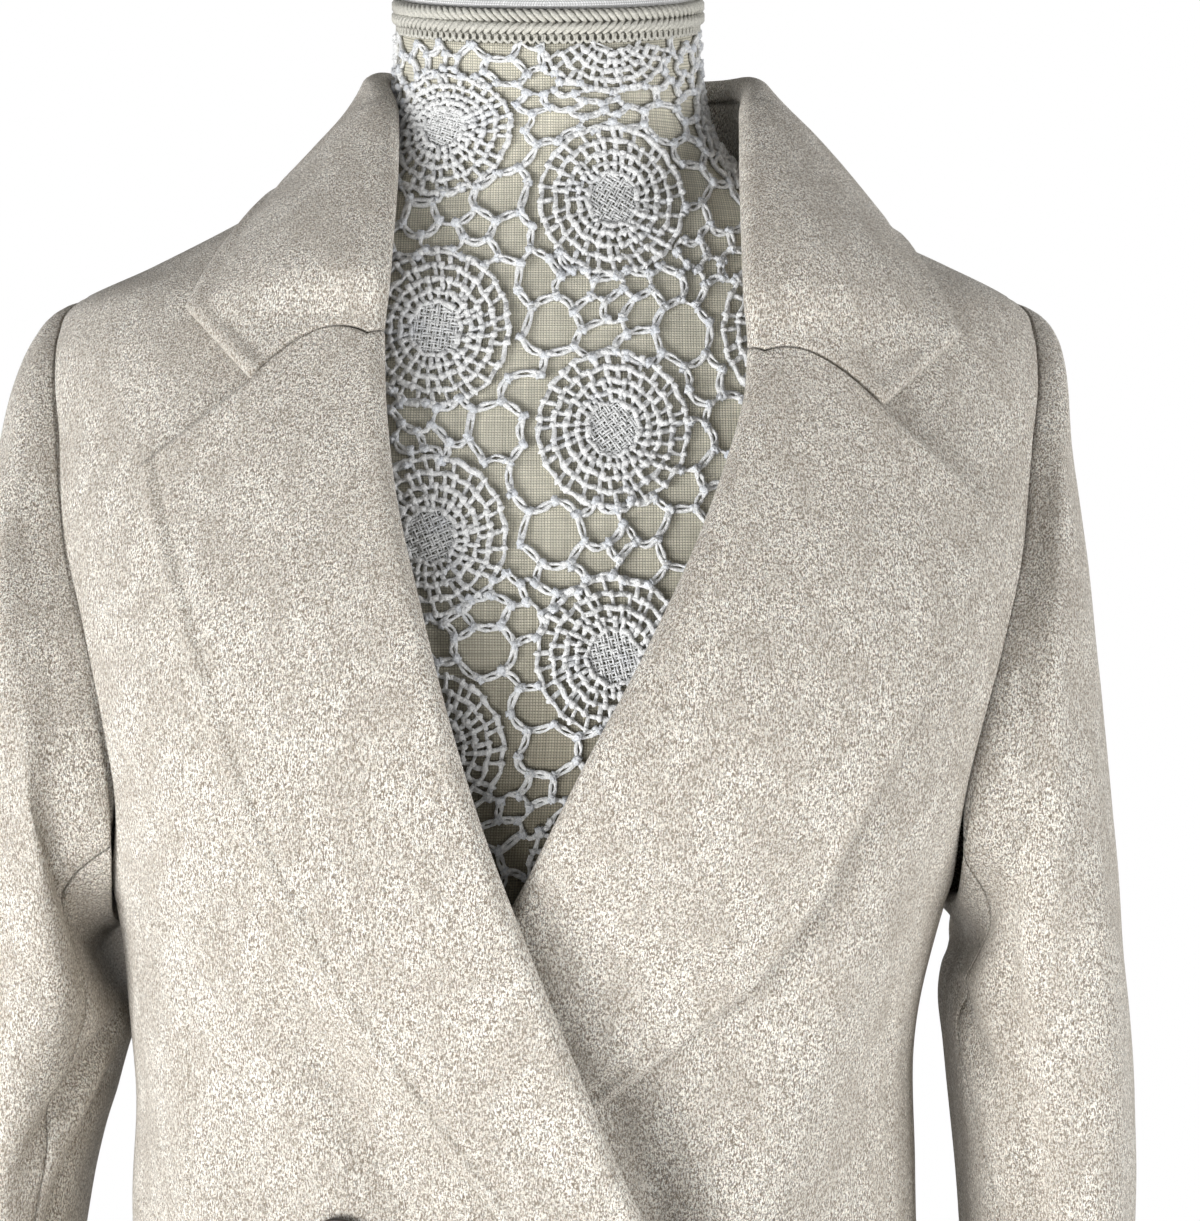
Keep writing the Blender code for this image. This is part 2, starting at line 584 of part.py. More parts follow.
def panel_rows(low, waist, mid, high):
    """Heights of a panel's rows, closer together at the break, at both ends of the
    armhole and over the shoulder."""
    step = BORDER_STEP
    even = np.linspace(0, 1, mid + 1)
    eased = even - ROW_CROWDING * np.sin(2 * math.pi * even)
    return np.concatenate([np.linspace(HEM_Z, WAIST_ROWS_Z, low + 1)[:-1],
                           np.linspace(WAIST_ROWS_Z, UNDERARM_Z - step, waist + 1),
                           UNDERARM_Z + step + (SHOULDER_TIP_Z - UNDERARM_Z - 2 * step) * eased,
                           np.linspace(SHOULDER_TIP_Z + step, NECK_POINT_Z - 2 * step, high + 1)])


def front_grid(side, rows, columns):
    """Middle of a front: at each height, equal turns from its outer to its free border."""
    z = rows[:, None]
    share = np.linspace(0, 1, columns + 1)[None]
    outer = even_turn(outer_line(z, side, back=False), z)
    inner = even_turn(front_theta(inner_line(z, side), z), z)
    z = z + 0 * share
    theta = theta_of(outer + (inner - outer) * share, z)
    bare, out = skin(theta, z), skin_out(theta, z)
    level = front_level(bare[..., 0], z, side) - CLOTH / 2
    return bare + out * level[..., None], out


def back_grid(rows, columns):
    """Middle of the back: at each height, equal turns from the left border to the right."""
    z = rows[:, None]
    share = np.linspace(0, 1, columns + 1)[None]
    left = even_turn(outer_line(z, 1, back=True), z)
    right = even_turn(outer_line(z, -1, back=True) + 2 * math.pi, z)
    z = z + 0 * share
    theta = theta_of(left + (right - left) * share, z)
    out = skin_out(theta, z)
    return skin(theta, z) - out * CLOTH / 2, out


def make_body():
    rows = panel_rows(4, 7, 11, 5)
    for name, side in (("front_right", -1), ("front_left", 1)):
        middle, out = front_grid(side, rows, 15)
        wall(name, middle, CLOTH, out)
    middle, out = back_grid(rows, 20)
    wall("back", middle, CLOTH, out)


# ---- lapels and collar ---------------------------------------------------------
def bend(start, through, end, cells):
    """Points after the start of a parabola that is half way along at `through`."""
    t = np.linspace(0, 1, cells + 1)[None, 1:, None]
    start, through, end = start[:, None], through[:, None], end[:, None]
    return (1 - t) * (1 - 2 * t) * start + 4 * t * (1 - t) * through + t * (2 * t - 1) * end


def folded(seam, roll, toward, out, radius, cells):
    """Cloth folded over a roll: a leg from the seam, then half a circle.

    Each argument holds one point a station; the answer is a grid of stations by
    points. The half circle lies in the plane of the way toward and the way out.
    """
    across = unit(toward - roll)
    out = unit(out - (out * across).sum(-1, keepdims=True) * across)
    centre = roll + across * radius
    turn = np.linspace(-math.pi / 2, math.pi / 2, cells[1] + 1)[None, :, None]
    arc = centre[:, None] + radius[:, None] * (np.sin(turn) * out[:, None]
                                              - np.cos(turn) * across[:, None])
    share = np.linspace(0, 1, cells[0] + 1)[None, :-1, None]
    leg = seam[:, None] + (arc[:, :1] - seam[:, None]) * share
    return np.concatenate([leg, arc], 1)


def on_front(x, z, over, side):
    """Point in front of the coat's surface, `over` a front's outer face."""
    centre, width, front, back, square = torso(z)
    share = np.clip(np.abs((x - centre) / width), 0, 1) ** square
    y = -front * (1 - share) ** (1 / square)
    return np.stack([x, y - over - front_level(x, z, side), z], -1)


def lapel_grid(side, count, cells):
    """Middle of a lapel, rolled out of the front and laid on it.

    A row is a leg behind the roll, the roll, a parabola to the mid line that runs
    down from the notch, and a second one to the edge.
    """
    row, at = stations(lapel_stations(side), count)
    ends = at[-1]
    flat = ramp(at, ends - 3.0, ends)
    if side > 0:
        flat = np.maximum(flat, ramp(at, *COVERED_FROM))
    radius = ROLL_RADIUS + (FLAT_RADIUS - ROLL_RADIUS) * flat
    across = unit(row[:, 2:4] - row[:, 0:2])
    leg = roll_leg(row, at)
    start = row[:, 0:2] + across * DOUBLE / 2
    seam = on_front(leg[:, 0], leg[:, 1], -CLOTH / 2, side)
    top = on_front(start[:, 0], start[:, 1], 2 * radius - CLOTH / 2, side)
    bottom = on_front(start[:, 0], start[:, 1], -CLOTH / 2, side)
    least = LAY + DOUBLE / 2
    mid_height = least + (MID_HEIGHT - least) * (1 - flat)
    mid = on_front(row[:, 2], row[:, 3], mid_height, side)
    edge = on_front(row[:, 4], row[:, 5], least + EDGE_RISE * (1 - flat), side)
    grid = folded(seam, (top + bottom) / 2, mid, unit(top - bottom), radius[:, None], cells)
    bend_x, bend_z = GORGE_BEND[side]
    gorge = on_front(bend_x + 0 * at, bend_z + 0 * at, MID_HEIGHT + GORGE_RISE, side)
    near_gorge = (1 - ramp(at, 0.0, 1.4))[:, None]
    half_way = (grid[:, -1] + mid) / 2 + unit(top - bottom) * GORGE_RISE
    half_way = half_way + (gorge - half_way) * near_gorge
    outer_half = (mid + edge) / 2 + unit(top - bottom) * OUTER_RISE
    cover = np.concatenate([bend(grid[:, -1], half_way, mid, cells[2]),
                            bend(mid, outer_half, edge, cells[3])], 1)
    level = front_level(cover[..., 0], cover[..., 2], side)
    return np.concatenate([grid, lift(cover, level + least)], 1)


def fold_thickness(cells, columns):
    """Single cloth at the leg's end, thickening to cloth and facing at the roll."""
    share = ramp(np.arange(columns), 0, cells[0] + 1)
    return CLOTH + (DOUBLE - CLOTH) * share


def make_lapels():
    for name, side in (("lapel_right", -1), ("lapel_left", 1)):
        grid = lapel_grid(side, 18, LAPEL_CELLS)
        wall(name, grid, fold_thickness(LAPEL_CELLS, grid.shape[1])[None])


def collar_grid(corner, sweep, cells):
    """Middle of the collar, from the right gorge round the back of the neck to the left.

    `corner` steps lead from each gorge to the collar's point, where the edge turns
    sharply, and `sweep` steps lead from point to point round the neck. A row is a
    stand, the roll and a parabola to the edge; the end rows follow the lapels.
    """
    table = np.array(COLLAR_RIGHT + COLLAR_LEFT[::-1])
    last = len(table) - 1
    knots = np.arange(last + 1)
    length = np.linalg.norm(np.diff(table[1:-1, 9:12], axis=0), axis=1)
    length = np.concatenate([[0], np.cumsum(length)])
    even = np.interp(np.linspace(0, length[-1], sweep + 1), length, knots[1:-1])
    at = np.concatenate([np.linspace(0, 1, corner + 1)[:-1], even,
                         np.linspace(last - 1, last, corner + 1)[1:]])
    row = np.stack([smooth(at, knots, table[:, i]) for i in range(12)], -1)
    for i in range(9, 12):
        round_neck = smooth(at, knots[1:-1], table[1:-1, i])
        row[:, i] = np.where((at >= 1) & (at <= last - 1), round_neck,
                             np.interp(at, knots, table[:, i]))
    seam, roll, mid, edge = (row[:, i:i + 3] for i in (0, 3, 6, 9))
    out = height_over(roll)[1]
    grid = folded(seam, roll, mid, out, np.full((len(at), 1), COLLAR_RADIUS), cells)
    cover = lift(bend(grid[:, -1], mid, edge, cells[2]), LAY + DOUBLE / 2)
    grid = np.concatenate([grid, cover], 1)
    for side, first, second, share in ((-1, 0, 1, at), (1, -1, -2, last - at)):
        lapel = lapel_grid(side, 60, LAPEL_CELLS)[:, :grid.shape[1]]
        border = lapel[0] + unit(lapel[0] - lapel[1]) * 2 * SEAM
        weight = (1 - ramp(share, 0.0, 1.2))[:, None, None]
        grid = grid + (border - grid[first]) * weight
    return grid


def make_collar():
    grid = collar_grid(3, 26, LAPEL_CELLS[:3])
    wall("collar", grid, fold_thickness(LAPEL_CELLS, grid.shape[1])[None])


# ---- sleeves -------------------------------------------------------------------
def sleeve_point(side, row, turn):
    """Middle of a sleeve at a row (0 armhole, last cuff) and a turn from the outer line.

    Each ring is an oval whose long way is across the body's side; over the cap the
    armhole's own outline turns into it. Turns run by the front, in degrees.
    """
    table = SLEEVE_RIGHT if side < 0 else SLEEVE_LEFT
    knots = np.arange(len(table))
    outer_x, outer_z, inner_x, inner_z, mid_y, depth = (
        smooth(row, knots, column(table, index)) for index in range(6))
    angle = np.radians(turn)
    power = 2 / SLEEVE_SQUARENESS
    oval_up = np.sign(np.cos(angle)) * np.abs(np.cos(angle)) ** power
    oval_side = -np.sign(np.sin(angle)) * np.abs(np.sin(angle)) ** power
    y_line, z_line = armhole_point(turn)
    low, high = UNDERARM_Z, SHOULDER_TIP_Z
    hole_up = (z_line - (low + high) / 2) / ((high - low) / 2)
    hole_side = (y_line + 0.003) / 0.082
    cap = 1 - ramp(row, 0, CAP_RINGS)
    up = oval_up + (hole_up - oval_up) * cap
    across = oval_side + (hole_side - oval_side) * cap
    half = CLOTH / 2
    centre_x, centre_z = (outer_x + inner_x) / 2, (outer_z + inner_z) / 2
    x = centre_x + (outer_x - inner_x - 2 * half) / 2 * up
    z = centre_z + (outer_z - inner_z) / 2 * up
    y = mid_y + (depth - half) * across
    theta = side_theta(y_line, z_line, 1)
    hole = skin(theta, z_line)
    straight = (hole[..., 2] - low) / (high - low)
    bow = hole[..., 0] - (table[0][2] + (table[0][0] - table[0][2]) * straight)
    x = x + bow * (1 - ramp(row, 0, 5))
    ring = np.stack([side * x, y, z], -1)
    start = np.clip(1 - row, 0, 1)[..., None] ** 2
    return ring + (armhole_start(side, row, turn) - ring) * start


def armhole_start(side, row, turn):
    """Where the sleeve's cloth leaves the armhole: edge to edge with the body, and
    outside the body's cloth under the arm, where the sleeve hangs down beside it."""
    y, z = armhole_point(turn)
    y_next, z_next = armhole_point(turn + 1.0)
    theta = side_theta(y, z, side)
    hole = skin(theta, z)
    out = skin_out(theta, z)
    along = skin(side_theta(y_next, z_next, side), z_next) - hole
    inward = unit(np.cross(out, along)) * side
    away = np.abs((turn + 180) % 360 - 180)
    under = ramp(away, *UNDER_TURNS)
    height = -CLOTH / 2 + (LAY + 1.5 * CLOTH) * under
    reach = (2 * SEAM + CAP_GAP * np.clip(row, 0, 1)) * (1 - under) + 2 * SEAM
    reach = reach + ARMPIT_GAP * ramp(away, *ARMPIT_TURNS[:2]) * (1 - ramp(away, *ARMPIT_TURNS[2:]))
    return hole + out * height[..., None] + inward * reach[..., None]


def sleeve_fold(side, row, turn):
    """Height of the drag folds, each a ridge or trough along a slanting line."""
    rise = np.zeros(np.broadcast(row, turn).shape)
    for row0, turn0, row1, turn1, width, height in SLEEVE_FOLDS[side]:
        along = (row - row0) / (row1 - row0)
        away = (turn - (turn0 + (turn1 - turn0) * along) + 180) % 360 - 180
        fade = ramp(along, -0.1, 0.35) * (1 - ramp(along, 0.65, 1.1))
        rise = rise + height * fade * np.exp(-(away / width) ** 2)
    return rise


def seam_turns(side, row):
    """Turns of the front and the back seam of a sleeve at each row."""
    knots = column(SLEEVE_SEAMS, 0)
    front = smooth(row, knots, column(SLEEVE_SEAMS, 1 if side < 0 else 2))
    return front, 360 - smooth(row, knots, column(SLEEVE_SEAMS, 3))


def sleeve_grid(side, rows, columns, upper):
    """Middle of the upper or the under sleeve, between its two seams."""
    row = rows[:, None]
    ends = []
    for index, way in enumerate((1, -1) if upper else (-1, 1)):
        seam, before, after = (seam_turns(side, row + step)[index] for step in (0, -0.1, 0.1))
        run = unit(sleeve_point(side, row + 0.1, after) - sleeve_point(side, row - 0.1, before))
        step = sleeve_point(side, row, seam + 1.5) - sleeve_point(side, row, seam - 1.5)
        step = step - (step * run).sum(-1, keepdims=True) * run
        gap = SEAM * (1 - (1 - LONG_SEAM_SHARE) * ramp(row, 2.0, 6.0))
        ends.append(seam - way * 3 * gap / np.linalg.norm(step, axis=-1))
    front, back = ends
    share = np.linspace(0, 1, columns + 1)[None]
    turn = back - 360 + (front - back + 360) * share if upper else front + (back - front) * share
    row = row + 0 * turn
    middle = sleeve_point(side, row, turn)
    free = np.maximum(row, 1.0)
    around = sleeve_point(side, free, turn + 1.5) - sleeve_point(side, free, turn - 1.5)
    along = sleeve_point(side, free + 0.05, turn) - sleeve_point(side, free - 0.05, turn)
    out = unit(np.cross(along, around)) * -side
    middle = middle + out * sleeve_fold(side, row, turn)[..., None]
    under_arm = ramp(np.abs((turn + 180) % 360 - 180), 106, 150)
    y, z = armhole_point(turn)
    beside_panel = (0.5 * np.clip(1 - row, 0, 1) ** 2 * (1 - under_arm))[..., None]
    out = unit(out + (skin_out(side_theta(y, z, side), z) - out) * beside_panel)
    beside = np.where(row >= 1, ramp(middle[..., 2], 1.26, 1.22), (row > 0) * under_arm)
    clear = lift(middle, 2.5 * LAY + CLOTH / 2)
    return middle + (clear - middle) * beside[..., None], out


def make_sleeves():
    rows = np.array([0, 1.1, 2.1, 3.1, 4.2, 5.3, 6.4, 7.4, 8.4, 9.4, 10.5, 11.5, 12.5, 13.7, 15])
    for side, hand in ((-1, "right"), (1, "left")):
        for part, columns in (("top", 18), ("under", 9)):
            middle, out = sleeve_grid(side, rows, columns, upper=part == "top")
            wall("sleeve_%s_%s" % (part, hand), middle, CLOTH, out)


# ---- buttons -------------------------------------------------------------------
def make_buttons():
    radius, thick = BUTTON_RADIUS, BUTTON_THICK
    profile = [(radius * 0.50, 0.0), (radius * 0.96, 0.0010), (radius, thick * 0.50),
               (radius * 0.88, thick), (radius * 0.74, thick), (radius * 0.62, thick * 0.66)]
    for name, x, z, side in BUTTONS:
        theta = float(front_theta(x, z))
        out = Vector(skin_out(theta, z))
        turn = np.linspace(0, 2 * math.pi, 8, endpoint=False)
        reach = np.array([[0.0], [0.6 * radius]])
        near = front_level(x + reach * np.sin(turn), z + reach * np.cos(turn), side)
        level = float(near.max()) + SEAM
        button = turned(name, profile, 16, "horn")
        button.location = Vector(skin(theta, z)) + out * level
        button.rotation_euler = out.to_track_quat("Z", "Y").to_euler()


# ---- dress form and stand ------------------------------------------------------
def neck_slant(points, share):
    """Ring heights tilted with the slanted top of the neck."""
    points[..., 2] += share * NECK_SLANT * points[..., 1]
    return points


def form_rings(sides):
    """Rings of the form: the coat's sections drawn in, then the neck's own sections."""
    theta = np.linspace(0, 2 * math.pi, sides, endpoint=False)
    knots = column(FORM_DEPTH, 0)
    heights = np.concatenate([np.linspace(FORM_BOTTOM_Z, 1.260, 8),
                              [1.292, 1.320, 1.340, 1.352, 1.362, 1.374, 1.392]])
    rings = []
    for z in heights:
        z_line = z + 0 * theta
        depth = smooth(z_line, knots, column(FORM_DEPTH, 1))
        angle = theta_of(theta, z_line)
        rings.append(skin(angle, z_line) - skin_out(angle, z_line) * depth[:, None])
    rings[0][:, 2] = FORM_BOTTOM_Z
    for number, (z, width, front, back) in enumerate(FORM_NECK):
        depth = np.where(np.cos(theta) > 0, front, back)
        ring = np.stack([width * np.sin(theta), -depth * np.cos(theta), z + 0 * theta], -1)
        rings.append(neck_slant(ring, ramp(number, 2, len(FORM_NECK) - 1)))
    return np.array(rings)


def neck_ring(grow, z, sides):
    """Oval of the neck's top, grown outwards and tilted, at a height at its sides."""
    _, width, front, back = FORM_NECK[-1]
    theta = np.linspace(0, 2 * math.pi, sides, endpoint=False)
    depth = np.where(np.cos(theta) > 0, front, back) + grow
    ring = np.stack([(width + grow) * np.sin(theta), -depth * np.cos(theta), z + 0 * theta], -1)
    return neck_slant(ring, 1.0)


def make_form():
    sides = 36
    tube("form_torso", form_rings(sides), "linen")
    low = FORM_NECK[-1][0] + SEAM
    braid = [(-TRIM_INSET, low), (TRIM_OUTSET, low), (BRAID_DEPTH, low + 0.35 * BRAID_HEIGHT),
             (BRAID_DEPTH, low + 0.65 * BRAID_HEIGHT), (TRIM_OUTSET, low + BRAID_HEIGHT),
             (-TRIM_INSET, low + BRAID_HEIGHT)]
    tube("form_braid", np.array([neck_ring(grow, z, sides) for grow, z in braid]), "braid")
    base = low + BRAID_HEIGHT + SEAM
    cap = [(-0.0010, base), (0.0005, base + 0.30 * CAP_HEIGHT), (-0.0060, base + 0.75 * CAP_HEIGHT),
           (-0.0300, base + CAP_HEIGHT)]
    tube("form_cap", np.array([neck_ring(grow, z, sides) for grow, z in cap]), "linen")


def make_stand():
    turned("stand_pole", [(POLE_RADIUS, SOCKET_TOP_Z + SEAM),
                          (POLE_RADIUS, FORM_BOTTOM_Z - SEAM)], 20, "steel")
    foot = [(FOOT_RADIUS, 0.0), (FOOT_RADIUS, 0.6 * FOOT_HEIGHT),
            (FOOT_RADIUS - 0.004, FOOT_HEIGHT), (2.2 * SOCKET_RADIUS, FOOT_HEIGHT + 0.004),
            (SOCKET_RADIUS, FOOT_HEIGHT + 0.014), (SOCKET_RADIUS, SOCKET_TOP_Z - 0.003),
            (SOCKET_RADIUS - 0.003, SOCKET_TOP_Z)]
    turned("stand_foot", foot, 40, "enamel")


def main():
    for obj in list(bpy.data.objects):
        bpy.data.objects.remove(obj, do_unlink=True)
    make_body()
    make_lapels()
    make_collar()
    make_sleeves()
    make_buttons()
    make_form()
    make_stand()


main()
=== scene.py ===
"""Long double-breasted wool coat on a lace-covered dress form, dressed for rendering.

Metres, +Z up. The coat faces -Y; right and left are the wearer's, so right lies at
-X. Each piece is a surface worked out on a grid and rides on the body "root".
"""

import math

import bpy
import numpy as np
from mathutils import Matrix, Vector
from mathutils.geometry import delaunay_2d_cdt


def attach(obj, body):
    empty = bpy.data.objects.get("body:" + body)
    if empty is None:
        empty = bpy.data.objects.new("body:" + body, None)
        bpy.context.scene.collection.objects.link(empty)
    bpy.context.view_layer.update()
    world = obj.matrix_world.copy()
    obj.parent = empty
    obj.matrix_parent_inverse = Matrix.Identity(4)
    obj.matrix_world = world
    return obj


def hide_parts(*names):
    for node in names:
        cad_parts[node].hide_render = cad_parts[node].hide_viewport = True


bl_info = {
    "name": "Long coat on a dress form",
    "version": (1, 0, 0),
    "blender": (4, 5, 0),
    "location": "View3D > Sidebar > Coat",
    "description": "Makes the cloth, lace, buttons and stand of a long coat on a dress form",
    "category": "Add Mesh",
}

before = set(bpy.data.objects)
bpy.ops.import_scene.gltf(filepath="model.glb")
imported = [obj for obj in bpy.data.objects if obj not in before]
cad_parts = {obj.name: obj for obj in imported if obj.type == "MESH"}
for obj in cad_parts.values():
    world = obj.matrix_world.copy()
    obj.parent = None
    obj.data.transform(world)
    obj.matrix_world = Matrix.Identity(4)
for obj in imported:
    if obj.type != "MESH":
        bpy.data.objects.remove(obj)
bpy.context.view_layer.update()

# ---- sizes and steps that the solids have too ----
CLOTH = 0.0024  # one layer of coating wool
DOUBLE = 0.0042  # cloth with its facing, as in the lapels and the collar
SEAM = 0.0004  # clear gap where two pieces are sewn together
LAY = 0.0010  # clear gap under a piece that lies on another
HEM_Z = 0.340
UNDERARM_Z = 1.1105
SHOULDER_TIP_Z = 1.3615
NECK_POINT_Z = 1.4180
NECK_POINT_X = 0.0885
SIDE_SEAM = math.radians(94.0)  # measured from the front round to the side
SIDE_REACH = 0.170  # of the side seam from the middle, near enough for its gap

# The coat's body as horizontal rounded sections.
# z, centre x, half width, depth to the front, depth to the back, squareness
TORSO = [
    (0.340, 0.0000, 0.2260, 0.168, 0.178, 2.20),
    (0.560, -0.0010, 0.2100, 0.156, 0.160, 2.20),
    (0.760, -0.0040, 0.1880, 0.144, 0.140, 2.30),
    (0.900, -0.0080, 0.1690, 0.139, 0.119, 2.30),
    (1.000, -0.0086, 0.1625, 0.136, 0.103, 2.40),
    (1.050, -0.0086, 0.1630, 0.139, 0.102, 2.40),
    (1.105, -0.0060, 0.1715, 0.146, 0.105, 2.45),
    (1.154, -0.0020, 0.1860, 0.151, 0.109, 2.50),
    (1.190, 0.0000, 0.1960, 0.150, 0.112, 2.50),
    (1.234, 0.0000, 0.2040, 0.140, 0.115, 2.50),
    (1.270, 0.0000, 0.2090, 0.127, 0.115, 2.40),
    (1.300, 0.0000, 0.2120, 0.114, 0.112, 2.30),
    (1.327, 0.0000, 0.2130, 0.101, 0.106, 2.15),
    (1.345, 0.0000, 0.2090, 0.091, 0.099, 2.05),
    (1.360, 0.0000, 0.1990, 0.082, 0.091, 2.00),
    (1.375, 0.0000, 0.1680, 0.074, 0.083, 2.00),
    (1.390, 0.0000, 0.1360, 0.068, 0.076, 2.00),
    (1.400, 0.0000, 0.1170, 0.064, 0.072, 2.00),
    (1.410, 0.0000, 0.1010, 0.061, 0.069, 2.00),
    (1.420, 0.0000, 0.0880, 0.059, 0.067, 2.00),
    (1.440, 0.0000, 0.0740, 0.056, 0.064, 2.00),
]

# Soft folds that open from the hips to the hem.
# angle from the front in degrees, half width in degrees, height at the hem
HEM_FOLDS = [
    (-150, 13, 0.018),
    (-112, 11, 0.015),
    (-68, 12, 0.018),
    (60, 13, 0.017),
    (104, 11, 0.016),
    (143, 13, 0.019),
    (-178, 10, 0.013),
]
HEM_FOLDS_START_Z = 0.93
TURN_STEP = 1e-3  # slopes are read over steps as small as these two
STEP = 2e-4
LIFT_TOP_Z = 1.425  # cloth higher than this is on the neck, and isn't lifted
WAIST_ROWS_Z = 0.860  # the panels' mesh rows lie closer together above this
ROW_CROWDING = 0.11  # how much the rows crowd at both ends of the armhole
BORDER_STEP = 0.0010  # of the rows next to the armhole's and the shoulder's ends

# Armhole on the side of the body, once round from the shoulder tip by the front.
# turn in degrees, y, z
ARMHOLE = [
    (0.0, 0.004, SHOULDER_TIP_Z),
    (20.0, -0.020, 1.3470),
    (45.0, -0.045, 1.3065),
    (70.0, -0.062, 1.2580),
    (90.0, -0.077, 1.2220),
    (110.0, -0.086, 1.1840),
    (135.0, -0.078, 1.1430),
    (157.0, -0.046, 1.1190),
    (180.0, 0.006, UNDERARM_Z),
    (203.0, 0.050, 1.1200),
    (225.0, 0.070, 1.1470),
    (250.0, 0.076, 1.1900),
    (270.0, 0.073, 1.2280),
    (290.0, 0.066, 1.2680),
    (315.0, 0.052, 1.3120),
    (340.0, 0.029, 1.3480),
]

# Lapels, from the gorge down to the break of the front edge.
# roll x, roll z, mid x, mid z, edge x, edge z
LAPEL_RIGHT = [
    (-0.0624, 1.3396, -0.1141, 1.3195, -0.1582, 1.2864),
    (-0.0603, 1.3081, -0.1025, 1.2913, -0.1550, 1.2689),
    (-0.0549, 1.2714, -0.0952, 1.2602, -0.1460, 1.2415),
    (-0.0456, 1.2337, -0.0856, 1.2263, -0.1337, 1.2065),
    (-0.0350, 1.1932, -0.0724, 1.1856, -0.1183, 1.1640),
    (-0.0221, 1.1510, -0.0574, 1.1451, -0.1022, 1.1284),
    (-0.0060, 1.1083, -0.0410, 1.1059, -0.0832, 1.0947),
    (0.0120, 1.0630, -0.0207, 1.0664, -0.0606, 1.0618),
    (0.0377, 1.0024, 0.0130, 1.0060, -0.0136, 1.0008),
    (0.0700, 0.9480, 0.0530, 0.9450, 0.0350, 0.9420),
    (0.1040, 0.9050, 0.0940, 0.9030, 0.0840, 0.9010),
]
LAPEL_LEFT = [
    (0.0798, 1.3330, 0.1319, 1.3087, 0.1759, 1.2714),
    (0.0778, 1.3128, 0.1220, 1.2839, 0.1731, 1.2555),
    (0.0705, 1.2880, 0.1173, 1.2605, 0.1636, 1.2319),
    (0.0600, 1.2600, 0.1048, 1.2338, 0.1526, 1.2089),
    (0.0488, 1.2348, 0.0891, 1.2039, 0.1401, 1.1824),
    (0.0338, 1.2049, 0.0739, 1.1744, 0.1234, 1.1535),
    (0.0183, 1.1766, 0.0590, 1.1411, 0.1050, 1.1187),
    (0.0034, 1.1470, 0.0443, 1.1113, 0.0841, 1.0916),
    (-0.0110, 1.1190, 0.0280, 1.0840, 0.0595, 1.0707),
    (-0.0340, 1.0800, 0.0010, 1.0590, 0.0280, 1.0460),
    (-0.0640, 1.0320, -0.0380, 1.0200, -0.0140, 1.0090),
    (-0.0840, 1.0050, -0.0680, 0.9970, -0.0500, 0.9900),
]
STATIONS = 60  # rows in which a lapel is read where only its lines count
FLAT_STATIONS = 3.0  # the last stations of a lapel, over which it becomes flat
GORGE_STATIONS = 1.4  # the first ones, which follow the bend of the gorge
# Where each gorge seam bends between the roll and the notch. x, z
GORGE_BEND = {-1: (-0.0895, 1.3385), 1: (0.1065, 1.3290)}
ROLL_RADIUS = 0.0050  # of the middle of the cloth, at the lapels' rolled edge
FLAT_RADIUS = 0.0028  # the same where a lapel lies flat: at its lower end, or covered
ROLL_GAP = 0.0014  # between the cloth behind the roll and the front's border
ROLL_LEG = 0.0085  # how far the cloth runs back inside, behind the roll
LEG_LOSS = 0.55  # share of that which is gone at a lapel's lower end
MID_HEIGHT = 0.0078  # of the cloth's middle over the front, half way to the edge
GORGE_RISE = 0.0008  # more than that at the gorge's bend, and half way to the mid line
OUTER_RISE = 0.0012  # bow of the cloth from the mid line to the edge
COVERED_FROM = (6.4, 8.2)  # lapel stations over which the left lapel dips under the right

# Neck seams of the two fronts, above the lapels. z, distance from the middle
NECK_SEAM_RIGHT = [(1.3480, 0.0790), (1.3600, 0.0785), (1.3800, 0.0800), (1.4000, 0.0845)]
NECK_SEAM_LEFT = [(1.3400, 0.0945), (1.3600, 0.0915), (1.3800, 0.0890), (1.4000, 0.0875)]

# Collar, from one gorge round the neck to the other. Points of the cloth's middle:
# seam x, y, z; roll x, y, z; mid x, y, z; edge x, y, z
COLLAR_RIGHT = [
    (-0.0770, -0.0950, 1.3400, -0.0630, -0.1030, 1.3402,
     -0.0895, -0.1030, 1.3385, -0.1147, -0.0974, 1.3204),
    (-0.0765, -0.0790, 1.3570, -0.0625, -0.0925, 1.3580,
     -0.1000, -0.0870, 1.3600, -0.1440, -0.0680, 1.3510),
    (-0.0760, -0.0690, 1.3730, -0.0622, -0.0820, 1.3740,
     -0.0980, -0.0740, 1.3790, -0.1350, -0.0530, 1.3715),
    (-0.0780, -0.0490, 1.3980, -0.0618, -0.0580, 1.4070,
     -0.0940, -0.0520, 1.4040, -0.1235, -0.0310, 1.3925),
    (-0.0815, -0.0200, 1.4160, -0.0640, -0.0290, 1.4380,
     -0.0885, -0.0230, 1.4290, -0.1165, -0.0040, 1.4030),
    (-0.0825, 0.0080, 1.4235, -0.0700, 0.0060, 1.4560,
     -0.0885, 0.0130, 1.4350, -0.1115, 0.0260, 1.4040),
    (-0.0640, 0.0430, 1.4255, -0.0560, 0.0460, 1.4625,
     -0.0740, 0.0580, 1.4400, -0.0930, 0.0700, 1.4010),
    (0.0000, 0.0632, 1.4265, 0.0040, 0.0725, 1.4650,
     0.0040, 0.0860, 1.4400, 0.0040, 0.0920, 1.3930),
]
